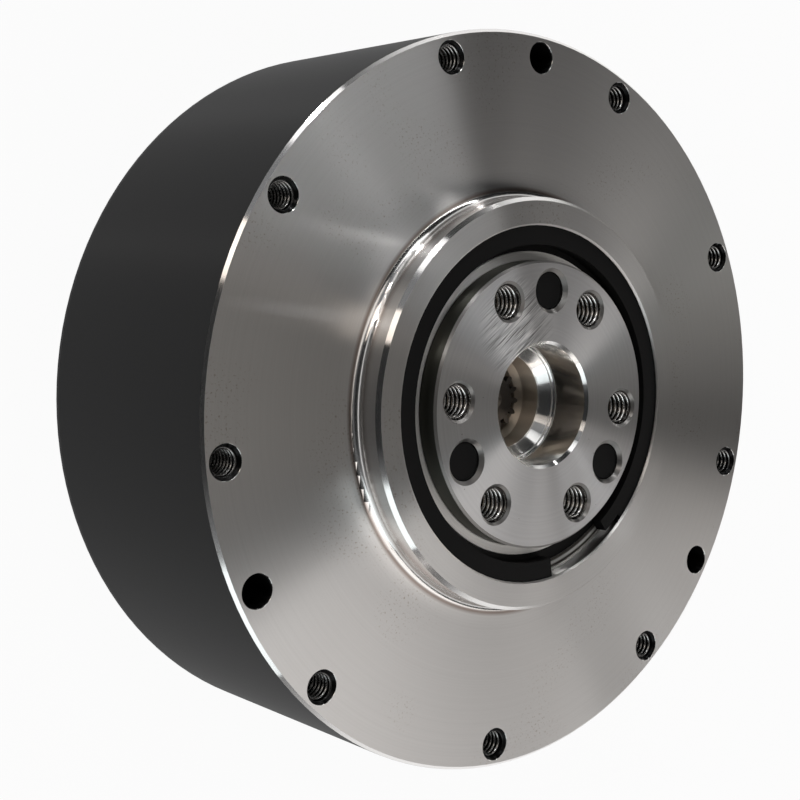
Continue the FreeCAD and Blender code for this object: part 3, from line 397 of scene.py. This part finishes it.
def ring_lines(tree, place, spacing):
    """Uneven rings, one about every spacing millimetres, as a lathe tool leaves them."""
    along = add(tree, "ShaderNodeMath", [place.radius, place.height], operation="ADD")
    return add(tree, "ShaderNodeTexNoise", {"W": along[0], "Scale": 1.0 / spacing, "Detail": 2.0,
                                            "Roughness": 0.6}, noise_dimensions="1D")["Fac"]


def anodised(tree, place):
    """The grain of a dyed oxide layer, and its near black, a little cloudy with that grain."""
    grain = add(tree, "ShaderNodeTexNoise", {"Vector": place.point, "Scale": 2.5, "Detail": 3.0})["Fac"]
    return grain, painted(tree, "#121213", ("#181819", grain))


# %% [markdown]
# The casing's masks come first: the black outside and holes, the drilled walls, the polished steps and
# the mouth of the bearing's seat. A step is told from a face by how level its surface is.

# %% The casing's zones
# In millimetres: what the last cut on the front face reached is bare, and so is the rim's bevel.
BOSS_FOOT = 30.0
CUT_FLOOR = FRONT_FACE - 0.03
RIM_BEVEL = 48.5
RIM_BEVEL_FLOOR = FRONT_FACE - 0.39
DRILLED_WITHIN = 48.4
SEAT_MOUTH = 24.2
FLAT = 0.97

casing_finish, tree, shader = turned_finish(
    "aluminium_turned_and_black_anodised", Anisotropic=1.0, Specular_IOR_Level=POROUS_SPECULAR)
place = place_on_part(tree)
dyed = zone(tree, place, radius=(BOSS_FOOT, HIGHEST), height=(LOWEST, CUT_FLOOR))
bevel = zone(tree, place, radius=(RIM_BEVEL, HIGHEST), height=(RIM_BEVEL_FLOOR, HIGHEST))
black = add(tree, "ShaderNodeMath", [dyed, bevel], operation="SUBTRACT", use_clamp=True)[0]
bare = add(tree, "ShaderNodeMath", [1.0, black], operation="SUBTRACT")[0]
drilled = zone(tree, place, radius=(LOWEST, DRILLED_WITHIN))
steep = zone(tree, place, level=(LOWEST, FLAT))
mouth = zone(tree, place, level=(LOWEST, FLAT), radius=(LOWEST, SEAT_MOUTH))
print("the casing is bare above", CUT_FLOOR, "mm")

# %% [markdown]
# Handling leaves brownish specks about a third of a millimetre wide, in a few cloudy patches.
# Polished steps mirror more of the light than the turned face. The corner at the foot of the boss is painted
# a darker brown: painted shade, and a painted reflection of the boss's dark wall in the face.

# %% The casing's bare metal
SPECKS_PER_MM = 3.0
SPECK_EDGES = (0.6, 0.72)
CLOUDS_PER_MM = 0.07
CLOUD_EDGES = (0.54, 0.66)
# Painted shade: a darker brown ring in the corner at the foot of the boss, for the dark wall that the face
# mirrors there.
FOOT_SHADE_INNER_EDGE = (27.85, 28.1)
FOOT_SHADE_OUTER_EDGE = (28.7, 28.25)
FOOT_SHADE_SHARE = 0.75

rings = ring_lines(tree, place, FEED)
specks = add(tree, "ShaderNodeTexNoise", {"Vector": place.point, "Scale": SPECKS_PER_MM,
                                          "Detail": 2.0})["Fac"]
clouds = add(tree, "ShaderNodeTexNoise", {"Vector": place.point, "Scale": CLOUDS_PER_MM,
                                          "Detail": 1.0})["Fac"]
ramps = [add(tree, "ShaderNodeMapRange", {"Value": value, "From Min": start, "From Max": end})[0]
         for value, (start, end) in ((specks, SPECK_EDGES), (clouds, CLOUD_EDGES),
                                     (place.radius, FOOT_SHADE_INNER_EDGE), (place.radius, FOOT_SHADE_OUTER_EDGE))]
specks = add(tree, "ShaderNodeMath", ramps[:2], operation="MULTIPLY")[0]
painted_foot_shade = add(tree, "ShaderNodeMath", ramps[2:], operation="MULTIPLY")[0]
painted_foot_shade = add(tree, "ShaderNodeMath", [painted_foot_shade, FOOT_SHADE_SHARE], operation="MULTIPLY")[0]
metal = painted(tree, "#cbcac9", ("#d3d2d1", rings), ("#aaa29a", specks), ("#eceae8", steep),
                ("#7d6a60", painted_foot_shade))
print("specks", round(1 / SPECKS_PER_MM, 2), "mm wide in clouds of", round(1 / CLOUDS_PER_MM), "mm")

# %% [markdown]
# The dye is cloudy outside. Inside the holes it is painted darker, as painted shade in the recesses, and the
# drilled wall is smoother. The chamfer at the mouth of the bearing's seat was only cut, so it is duller than
# the polished steps.

# %% The casing's finish
SEAT_MOUTH_ROUGHNESS = 0.45
DYED_ROUGHNESS = 0.36
DRILLED_ROUGHNESS = 0.25
ANODISED_BUMP = 0.03

grain, dye = anodised(tree, place)
# Painted shade: the black inside the holes is darker than the dye outside.
dye = painted(tree, dye, ("#060606", drilled))
colour = painted(tree, metal, (dye, black))
dyed_roughness = laid_over(tree, DYED_ROUGHNESS, (DRILLED_ROUGHNESS, drilled))
roughness = laid_over(tree, FACE_ROUGHNESS, (POLISHED_ROUGHNESS, steep), (SEAT_MOUTH_ROUGHNESS, mouth),
                      (dyed_roughness, black))
relief = laid_over(tree, rings, (grain, black))
bump = add(tree, "ShaderNodeBump", {"Height": relief, "Strength": ANODISED_BUMP, "Distance": RELIEF})
connect(tree, shader, Base_Color=colour, Metallic=bare, Roughness=roughness, Normal=bump[0])
wear(casing_finish, "front_housing")

# %% [markdown]
# ## The rear cover
# The cover is a thin plate, anodised black all over, with the bevel round its rim cut bright
# afterwards. It has the casing's dye, without its turned rings.

# %% The rear cover's finish
COVER_BEVEL = 48.62
COVER_BEVEL_TOP = 0.38
COVER_ROUGHNESS = 0.5
COVER_BEVEL_ROUGHNESS = 0.25

cover_finish, tree, shader = new_finish(
    "aluminium_black_anodised_plate", Specular_IOR_Level=POROUS_SPECULAR)
place = place_on_part(tree)
bevel = zone(tree, place, radius=(COVER_BEVEL, HIGHEST), height=(LOWEST, COVER_BEVEL_TOP))
grain, dye = anodised(tree, place)
colour = painted(tree, dye, ("#8e8d8c", bevel))
roughness = laid_over(tree, COVER_ROUGHNESS, (COVER_BEVEL_ROUGHNESS, bevel))
bump = add(tree, "ShaderNodeBump", {"Height": grain, "Strength": ANODISED_BUMP, "Distance": RELIEF})
connect(tree, shader, Base_Color=colour, Metallic=bevel, Roughness=roughness, Normal=bump[0])
wear(cover_finish, "rear_cover")

# %% [markdown]
# ## The output flange
# The flange was turned too, its holes were countersunk, and its bore was reamed and polished. Its finish
# starts with the masks of those places. The throat deep in the bore is painted browner and darker, and the
# wall under the flange's rim is painted dark, as painted shade in the gap beside the bearing's inner ring.

# %% The flange's zones
# In millimetres, and levelness from 0 to 1.
FACE_LEVEL = 0.9
COUNTERSINK_LEVEL = 0.5
COUNTERSINKS_FROM = 9.5
THROAT_TOP = 33.6
THROAT_FLOOR = 33.2
FLANGE_WALL = 18.75
FLANGE_WALL_TOP = OUTPUT_FACE - 0.35
BORE = 8.2
BORE_JOINT = 35.0
JOINT_HALF = 0.24
LINE_HALF = 0.07

flange_finish, tree, shader = turned_finish(
    "aluminium_fine_turned_and_reamed", Anisotropic=1.0, Metallic=1.0)
place = place_on_part(tree)
face = zone(tree, place, level=(FACE_LEVEL, HIGHEST))
sunk = zone(tree, place, level=(COUNTERSINK_LEVEL, HIGHEST), radius=(COUNTERSINKS_FROM, HIGHEST))
cut = add(tree, "ShaderNodeMath", [sunk, face], operation="SUBTRACT", use_clamp=True)[0]
machined = add(tree, "ShaderNodeMath", [face, sunk], operation="MAXIMUM")[0]
polished = add(tree, "ShaderNodeMath", [1.0, machined], operation="SUBTRACT")[0]
# The throat deep in the bore is painted browner and darker than the polished bore above it.
throat = add(tree, "ShaderNodeMapRange", {"Value": place.height, "From Min": THROAT_TOP,
                                          "From Max": THROAT_FLOOR})[0]
# Painted shade: the wall under the flange's rim is painted a dark brownish grey, for the shade in the gap
# beside the bearing's inner ring.
wall = zone(tree, place, radius=(FLANGE_WALL, HIGHEST), height=(LOWEST, FLANGE_WALL_TOP))

# Two fine bright lines where the flange's bore meets the carrier's spigot: painted highlights of the edges at
# that joint.
from_joint = add(tree, "ShaderNodeMath", [place.height, BORE_JOINT], operation="SUBTRACT")[0]
from_joint = add(tree, "ShaderNodeMath", [from_joint], operation="ABSOLUTE")[0]
lines = add(tree, "ShaderNodeMath", [from_joint, JOINT_HALF, LINE_HALF], operation="COMPARE")[0]
in_bore = zone(tree, place, radius=(LOWEST, BORE))
joint_highlight_lines = add(tree, "ShaderNodeMath", [lines, in_bore], operation="MULTIPLY")[0]
print("the throat begins", round(OUTPUT_FACE - THROAT_TOP, 1), "mm under the output face")

# %% [markdown]
# A few scratches between the bore and the holes show where something was fitted and taken out again.
# They are thin streaks of noise, stretched by a Mapping node and kept to one patch. The scratches are real
# marks, but their light is painted: the highest values are bright lines, a painted highlight, and the lowest
# their sides in painted shade. Small dark pits lie all over.

# %% Scratches and pits
SCRATCH_ANGLE = math.radians(42)
SCRATCH_SIZE = (5.0, 0.2, 1.0)
PATCH_CENTRE = (-6.0, 9.8, OUTPUT_FACE)
PATCH_EDGES = (7.0, 2.5)
BRIGHT_EDGES = (0.52, 0.6)
SHADED_EDGES = (0.46, 0.38)


def pits(tree, place, spacing, size, share):
    """Small dark pits: one place about every spacing millimetres, and only a share of them pitted."""
    cells = add(tree, "ShaderNodeTexVoronoi", {"Vector": place.point, "Scale": 1.0 / spacing})
    near = add(tree, "ShaderNodeMath", [cells["Distance"], size / spacing], operation="LESS_THAN")
    chosen = add(tree, "ShaderNodeSeparateColor", [cells["Color"]])
    kept = add(tree, "ShaderNodeMath", [chosen[0], share], operation="LESS_THAN")
    return add(tree, "ShaderNodeMath", [near[0], kept[0]], operation="MULTIPLY")[0]


streaks = add(tree, "ShaderNodeMapping", {"Vector": place.point, "Rotation": (0, 0, SCRATCH_ANGLE),
                                          "Scale": SCRATCH_SIZE}, vector_type="TEXTURE")
streaks = add(tree, "ShaderNodeTexNoise", {"Vector": streaks[0], "Scale": 1.0, "Detail": 3.0})["Fac"]
apart = add(tree, "ShaderNodeVectorMath", [place.point, PATCH_CENTRE], operation="DISTANCE")["Value"]
patch, bright, shaded = [
    add(tree, "ShaderNodeMapRange", {"Value": value, "From Min": start, "From Max": end})[0]
    for value, (start, end) in ((apart, PATCH_EDGES), (streaks, BRIGHT_EDGES), (streaks, SHADED_EDGES))]
# Painted highlight and painted shade: the scratches' bright lines and their shaded sides.
bright = add(tree, "ShaderNodeMath", [bright, patch], operation="MULTIPLY")[0]
shaded = add(tree, "ShaderNodeMath", [shaded, patch], operation="MULTIPLY")[0]
pitted = pits(tree, place, spacing=1.1, size=0.07, share=0.25)
print("scratches", SCRATCH_SIZE[0], "mm long")

# %% [markdown]
# The layers go on in about the order of the real ones: the turned face with its marks, the polished bore, the
# cut countersinks, and last the browner throat, the painted shade on the wall and the painted highlights at
# the bore's joint.

# %% The flange's finish
THROAT_ROUGHNESS = 0.42
CUT_ROUGHNESS = 0.46
EDGE_ROUGHNESS = 0.5
WALL_ROUGHNESS = 0.35
TURNED_ROUGHNESS = (0.28, 0.31)
RING_SHARE = 0.2
FLANGE_BUMP = 0.15

rings = ring_lines(tree, place, FEED)
colour = painted(
    tree, "#cbcbcc", ("#d8d8d9", rings), ("#75726f", pitted), ("#f8f7f6", bright), ("#7a7877", shaded),
    ("#f2f1ef", polished), ("#9c9a98", cut), ("#cdbfae", throat), ("#565650", wall), ("#fbfaf8", joint_highlight_lines))
turned = add(tree, "ShaderNodeMapRange", {"Value": rings, "To Min": TURNED_ROUGHNESS[0],
                                          "To Max": TURNED_ROUGHNESS[1]})[0]
reamed = laid_over(tree, POLISHED_ROUGHNESS, (THROAT_ROUGHNESS, throat))
roughness = laid_over(tree, turned, (reamed, polished), (CUT_ROUGHNESS, cut),
                      (EDGE_ROUGHNESS, joint_highlight_lines), (WALL_ROUGHNESS, wall))
relief = add(tree, "ShaderNodeMath", [rings, RING_SHARE, bright], operation="MULTIPLY_ADD")
bump = add(tree, "ShaderNodeBump", {"Height": relief[0], "Strength": FLANGE_BUMP, "Distance": RELIEF})
connect(tree, shader, Base_Color=colour, Roughness=roughness, Normal=bump[0])
wear(flange_finish, "output_flange", "carrier_front_plate", "carrier_rear_plate", "rotor_hub",
     "rear_housing")

# %% [markdown]
# ## The other finishes
# Each of these starts from what the real piece is made of. None is one flat colour: a little noise
# changes colour and roughness at the scale of the real grain. They differ only in numbers, so a table
# holds them all.

# %% Plain finishes
FINISHES = {
    # name: two colours, metallic, two roughness values, grain in millimetres, bump, nodes.
    # A matt black layer of crystals, with hardly a highlight.
    "steel_black_phosphate": ("#060607", "#0b0b0c", 0.0, 0.5, 0.65, 0.15, 0.12, [
        "snap_ring", "planet_pins", "carrier_screws", "rear_cover_screws", "board_screws"]),
    # Balls lapped between plates: small sharp highlights.
    "bearing_steel_lapped": ("#b9babb", "#c9cacb", 1.0, 0.1, 0.16, 0.3, 0.02, [
        "output_bearing_balls", "rotor_bearing_balls", "pilot_bearing_balls"]),
    # Moulded cages, nearly black and a little waxy.
    "nylon_moulded": ("#2d2b28", "#35332f", 0.0, 0.45, 0.55, 0.4, 0.05, [
        "output_bearing_cage", "rotor_bearing_cage", "pilot_bearing_cage"]),
    # Moulded seals, black and dull.
    "nitrile_rubber": ("#060606", "#0a0a0b", 0.0, 0.5, 0.65, 0.2, 0.1, ["output_bearing_seals"]),
    # Hardened in hot gas: a dark brownish grey with a broad highlight.
    "gear_steel_nitrided": ("#4d4944", "#66605a", 1.0, 0.3, 0.45, 0.3, 0.05, ["sun_gear"]),
    # Cut tooth by tooth: plain bright steel, a little uneven.
    "gear_steel_hobbed": ("#8e8c88", "#a3a09b", 1.0, 0.25, 0.38, 0.25, 0.05, [
        "ring_gear", "planet_gear_1", "planet_gear_2", "planet_gear_3", "rotor_ring"]),
    # Pressed from powder: a warm colour, grainy and dull.
    "bronze_sintered": ("#8c6a3c", "#a07a46", 1.0, 0.35, 0.5, 0.12, 0.1, [
        "planet_bush_1", "planet_bush_2", "planet_bush_3", "thrust_washers"]),
    # Plated: bright, smooth and slightly yellow.
    "nickel_plate_on_magnet": ("#b8b5ae", "#c6c3bc", 1.0, 0.22, 0.32, 0.4, 0.03, [
        "rotor_magnets", "encoder_magnet"]),
    # Stamped sheets in a stack: a bluish grey.
    "silicon_steel_laminated": ("#6e6f72", "#85868a", 1.0, 0.35, 0.5, 0.35, 0.3, ["stator_core"]),
    # Drawn wire under clear varnish: a glossy reddish brown.
    "copper_wire_enamelled": ("#7a3a1c", "#a8582e", 1.0, 0.22, 0.35, 0.3, 0.2, ["stator_coils"]),
    # Green lacquer over glass cloth, glossy and flat.
    "board_solder_mask": ("#0f3a24", "#14492e", 0.0, 0.3, 0.4, 0.6, 0.05, ["driver_board"]),
    # Moulded resin full of quartz: matt and nearly black.
    "chip_epoxy": ("#141415", "#1d1d1e", 0.0, 0.5, 0.65, 0.1, 0.1, [
        "power_transistors", "encoder_chip", "controller_chip"]),
    # A drawn can with a bright satin skin.
    "capacitor_can_aluminium": ("#a9abad", "#bdbfc1", 1.0, 0.3, 0.4, 0.5, 0.02, ["bus_capacitors"]),
    # Moulded nylon of two colours, both with a satin skin.
    "socket_nylon_yellow": ("#c9961a", "#d6a428", 0.0, 0.4, 0.5, 0.5, 0.03, ["power_socket"]),
    "socket_nylon_white": ("#d8d5cc", "#e2dfd6", 0.0, 0.4, 0.5, 0.5, 0.03, ["signal_sockets"]),
}


def plain_finish(name, dark, light, metallic, smooth, rough, grain, relief):
    """A finish of two close colours mixed by a noise whose grain is given in millimetres."""
    material, tree, shader = new_finish(name, Metallic=metallic)
    point = place_on_part(tree).point
    noise = add(tree, "ShaderNodeTexNoise", {"Vector": point, "Scale": 1.0 / grain, "Detail": 4.0})["Fac"]
    roughness = add(tree, "ShaderNodeMapRange", {"Value": noise, "To Min": smooth, "To Max": rough})
    bump = add(tree, "ShaderNodeBump", {"Height": noise, "Strength": relief, "Distance": RELIEF})
    connect(tree, shader, Base_Color=painted(tree, dark, (light, noise)), Roughness=roughness[0],
            Normal=bump[0])
    return material


for name, (*looks, pieces) in FINISHES.items():
    wear(plain_finish(name, *looks), *pieces)

for name in ("steel_black_phosphate", "nitrile_rubber"):
    shader = bpy.data.materials[name].node_tree.nodes["Principled BSDF"]
    shader.inputs["Specular IOR Level"].default_value = POROUS_SPECULAR

# %% [markdown]
# Two of the hidden pieces are built in layers. The stator's core is a stack of sheets 0.35 mm thick,
# and a coil is wire of 0.42 mm, turn beside turn along its tooth. A rising and falling line along the
# height, or along the radius, gives both their grooves.

# %% Sheets and turns of wire
# What the layers follow, their pitch in millimetres and the strength of the bump.
LAYERS = {"silicon_steel_laminated": ("height", 0.35, 0.6), "copper_wire_enamelled": ("radius", 0.42, 1.0)}
NOISE_SHARE = 0.3

for name, (measure, pitch, strength) in LAYERS.items():
    tree = bpy.data.materials[name].node_tree
    bump = next(node for node in tree.nodes if node.bl_idname == "ShaderNodeBump")
    noise = bump.inputs["Height"].links[0].from_socket
    along = getattr(place_on_part(tree), measure)
    groove = add(tree, "ShaderNodeMath", [along, pitch / 2], operation="PINGPONG")[0]
    groove = add(tree, "ShaderNodeMapRange", {"Value": groove, "From Max": pitch / 4})[0]
    height = add(tree, "ShaderNodeMath", [noise, NOISE_SHARE, groove], operation="MULTIPLY_ADD")[0]
    tree.links.new(height, bump.inputs["Height"])
    bump.inputs["Strength"].default_value = strength
    print(name, "has grooves every", pitch, "mm")

# %% [markdown]
# The bearing rings are hardened steel, ground on their sides, so their highlight is stretched as on a
# turned face, only tighter. The outer ring of the output bearing has dark grooves beside its seal.

# %% Bearing rings
# Spacings and the radius where the grooves begin, in millimetres.
GRINDING = 0.12
GROOVE_SPACING = 0.9
GROOVE_EDGES = (0.12, 0.3)
GROOVES_FROM = 21.0
GROUND_ROUGHNESS = (0.34, 0.46)

ring_finish, tree, shader = turned_finish("bearing_steel_ground", Anisotropic=0.95, Metallic=0.55)
place = place_on_part(tree)
rings = ring_lines(tree, place, GRINDING)
groove = add(tree, "ShaderNodeMath", [place.radius, GROOVE_SPACING / 2], operation="PINGPONG")[0]
groove = add(tree, "ShaderNodeMapRange", {"Value": groove, "From Min": GROOVE_EDGES[0],
                                          "From Max": GROOVE_EDGES[1]})[0]
beside_seal = zone(tree, place, radius=(GROOVES_FROM, HIGHEST))
groove = add(tree, "ShaderNodeMath", [groove, beside_seal], operation="MULTIPLY")[0]
steel = painted(tree, "#dcdbd8", ("#f4f3f1", rings), ("#4a4641", groove))
roughness = add(tree, "ShaderNodeMapRange", {"Value": rings, "To Min": GROUND_ROUGHNESS[0],
                                             "To Max": GROUND_ROUGHNESS[1]})
connect(tree, shader, Base_Color=steel, Roughness=roughness[0])
wear(ring_finish, *[name for name in nodes if name.endswith(("inner_ring", "outer_ring"))])

# %% [markdown]
# ## Screw threads
# The tapped holes are plain cylinders in the model, between the thread's core and its outside, so the
# thread itself can be a separate ridge inside. A Screw modifier could wind it, but a thread follows a
# rule that Geometry Nodes say more plainly: a trapezoid carried along a helix, once for every pitch.
# A Spiral draws the helix, Curve to Mesh sweeps the trapezoid and lets it fade out over the last half
# turn below the countersunk mouth, and one copy goes into each hole of the circle.

# %% The thread's tree
# Widths as shares of the pitch, and the shape of the fade.
ROOT_SHARE = 0.875
CREST_SHARE = 0.3
FADE_TURNS = 0.5
FADE_END = 0.02
STEPS_PER_TURN = 36
PHASE_SEED = 7


def thread_tree(sizes):
    """A node tree that makes the threads of one circle of tapped holes, with these sizes as defaults."""
    tree = bpy.data.node_groups.new("tapped_threads", "GeometryNodeTree")
    for name, value in sizes.items():
        kind = "NodeSocketInt" if isinstance(value, int) else "NodeSocketFloat"
        socket = tree.interface.new_socket(name, in_out="INPUT", socket_type=kind)
        socket.default_value = value
    tree.interface.new_socket("Material", in_out="INPUT", socket_type="NodeSocketMaterial")
    tree.interface.new_socket("Geometry", in_out="OUTPUT", socket_type="NodeSocketGeometry")
    size = add(tree, "NodeGroupInput")

    # The helix ends where the mouth's cone begins.
    mouth = add(tree, "ShaderNodeMath", [size["Mouth Radius"], size["Thread Radius"]], operation="SUBTRACT")
    length = add(tree, "ShaderNodeMath", [size["Depth"], mouth[0]], operation="SUBTRACT")
    turns = add(tree, "ShaderNodeMath", [length[0], size["Pitch"]], operation="DIVIDE")
    helix = add(tree, "GeometryNodeCurveSpiral", {
        "Resolution": STEPS_PER_TURN, "Rotations": turns[0], "Start Radius": size["Thread Radius"],
        "End Radius": size["Thread Radius"], "Height": length[0]})
    upright = add(tree, "GeometryNodeSetCurveNormal", {"Curve": helix[0]}, mode="Z_UP")

    # A trapezoid that points inwards, with its foot on the hole's wall.
    tooth = add(tree, "ShaderNodeMath", [size["Thread Radius"], size["Core Radius"]], operation="SUBTRACT")
    root = add(tree, "ShaderNodeMath", [size["Pitch"], ROOT_SHARE], operation="MULTIPLY")
    crest = add(tree, "ShaderNodeMath", [size["Pitch"], CREST_SHARE], operation="MULTIPLY")
    profile = add(tree, "GeometryNodeCurvePrimitiveQuadrilateral", {
        "Height": tooth[0], "Bottom Width": root[0], "Top Width": crest[0], "Offset": 0.0},
        mode="TRAPEZOID")
    half = add(tree, "ShaderNodeMath", [tooth[0], 0.5], operation="MULTIPLY")
    shift = add(tree, "ShaderNodeCombineXYZ", [half[0]])
    inward = add(tree, "GeometryNodeTransform", {
        "Geometry": profile[0], "Translation": shift[0], "Rotation": (0, 0, -math.pi / 2)})

    # The ridge, full size until its last half turn.
    left = add(tree, "ShaderNodeMath", [1.0, add(tree, "GeometryNodeSplineParameter")["Factor"]],
               operation="SUBTRACT")
    left = add(tree, "ShaderNodeMath", [left[0], turns[0]], operation="MULTIPLY")
    fade = add(tree, "ShaderNodeMapRange", {"Value": left[0], "From Max": FADE_TURNS, "To Min": FADE_END})
    ridge = add(tree, "GeometryNodeCurveToMesh", {
        "Curve": upright[0], "Profile Curve": inward[0], "Scale": fade[0], "Fill Caps": True})
    sink = add(tree, "ShaderNodeMath", [size["Depth"], -1.0], operation="MULTIPLY")
    down = add(tree, "ShaderNodeCombineXYZ", {"Z": sink[0]})
    seated = add(tree, "GeometryNodeTransform", {"Geometry": ridge[0], "Translation": down[0]})

    # One copy in every hole, each turned by its own angle, then from millimetres to metres.
    circle = add(tree, "GeometryNodeMeshCircle", {"Vertices": size["Holes"], "Radius": size["Circle Radius"]})
    start = add(tree, "FunctionNodeRandomValue", {2: 0.0, 3: math.tau, "Seed": PHASE_SEED}, data_type="FLOAT")
    phase = add(tree, "ShaderNodeCombineXYZ", {"Z": start[1]})
    copies = add(tree, "GeometryNodeInstanceOnPoints", {
        "Points": circle["Mesh"], "Instance": seated[0], "Rotation": phase[0]})
    turn = add(tree, "ShaderNodeCombineXYZ", {"Z": size["Start Angle"]})
    lift = add(tree, "ShaderNodeCombineXYZ", {"Z": size["Top"]})
    placed = add(tree, "GeometryNodeTransform", {
        "Geometry": copies[0], "Translation": lift[0], "Rotation": turn[0]})
    metres = add(tree, "GeometryNodeTransform", {"Geometry": placed[0], "Scale": (MM, MM, MM)})
    single = add(tree, "GeometryNodeRealizeInstances", {"Geometry": metres[0]})
    finished = add(tree, "GeometryNodeSetMaterial", {"Geometry": single[0], "Material": size["Material"]})
    add(tree, "NodeGroupOutput", {"Geometry": finished[0]})
    return tree


threads = thread_tree(M4_HOLES)
print("thread tree with", len(threads.nodes), "nodes")

# %% [markdown]
# A tree only shows its result while a modifier runs it. Each piece here has to be a plain mesh of its
# own, so the tree runs once on an empty mesh, and its evaluated result becomes the piece.

# %% Grow a tree into a mesh
def grow(name, tree, inputs):
    """Runs a geometry tree with these inputs and returns the result as a plain mesh object."""
    seed = bpy.data.objects.new(name + "_seed", bpy.data.meshes.new(name + "_seed"))
    bpy.context.scene.collection.objects.link(seed)
    modifier = seed.modifiers.new("grow", "NODES")
    modifier.node_group = tree
    for socket in tree.interface.items_tree:
        if socket.name in inputs:
            modifier[socket.identifier] = inputs[socket.name]
    seed.update_tag()
    bpy.context.view_layer.update()
    mesh = bpy.data.meshes.new_from_object(seed.evaluated_get(bpy.context.evaluated_depsgraph_get()))
    bpy.data.objects.remove(seed)
    piece = bpy.data.objects.new(name, mesh)
    mesh.name = name
    bpy.context.scene.collection.objects.link(piece)
    print(name, len(mesh.polygons), "faces")
    return piece


# %% [markdown]
# The threads in the casing were tapped before it was anodised, so they are black, and only their crests are
# worn bright by bolts. The ones in the flange are bare metal. In both, the flanks are painted darker than the
# surface outside the hole, as painted shade between the crests. One finish makes both: its mask is the
# distance from the middle of the nearest hole.

# %% Thread finishes
# Distances from the core, in millimetres, between which the wear begins and is complete.
WEAR_START = 0.16
WEAR_FULL = 0.06
THREAD_ROUGHNESS = (0.16, 0.34)


def thread_finish(name, flank, crest, bare, holes):
    """A tapped thread whose crests, near the core radius, are brighter than its flanks."""
    material, tree, shader = new_finish(name, Metallic=1.0)
    place = place_on_part(tree)
    away = hole_distance(tree, place, holes)
    core = holes["Core Radius"]
    worn = add(tree, "ShaderNodeMapRange", {"Value": away, "From Min": core + WEAR_START,
                                            "From Max": core + WEAR_FULL})[0]
    noise = add(tree, "ShaderNodeTexNoise", {"Vector": place.point, "Scale": 5.0, "Detail": 2.0})["Fac"]
    roughness = add(tree, "ShaderNodeMapRange", {"Value": noise, "To Min": THREAD_ROUGHNESS[0],
                                                 "To Max": THREAD_ROUGHNESS[1]})
    connect(tree, shader, Base_Color=painted(tree, flank, (crest, worn)), Roughness=roughness[0])
    if not bare:
        # Only the worn crests show metal.
        connect(tree, shader, Metallic=worn)
    return material


# %% [markdown]
# Each circle of threads is one piece. It rides on the body whose holes it lines, so the threads of the
# output turn with the flange.

# %% Threads in the front face and in the output flange
# Painted shade: the flanks are darker than the metal or dye outside the holes, black here and dark grey in
# the bare threads.
black_thread = thread_finish("thread_tapped_black_anodised", "#060606", "#c4c3c1", False, M4_HOLES)
bare_thread = thread_finish("thread_tapped_bare_aluminium", "#3a3735", "#f2f1ef", True, M5_HOLES)
front = grow("front_face_threads", threads, {**M4_HOLES, "Material": black_thread})
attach(front, "casing")
output = grow("output_face_threads", threads, {**M5_HOLES, "Material": bare_thread})
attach(output, "output")

# %% [markdown]
# ## Finish
# The view transform is Standard, so that colours come out as they were written.

# %% Finish
bpy.context.scene.view_settings.view_transform = "Standard"
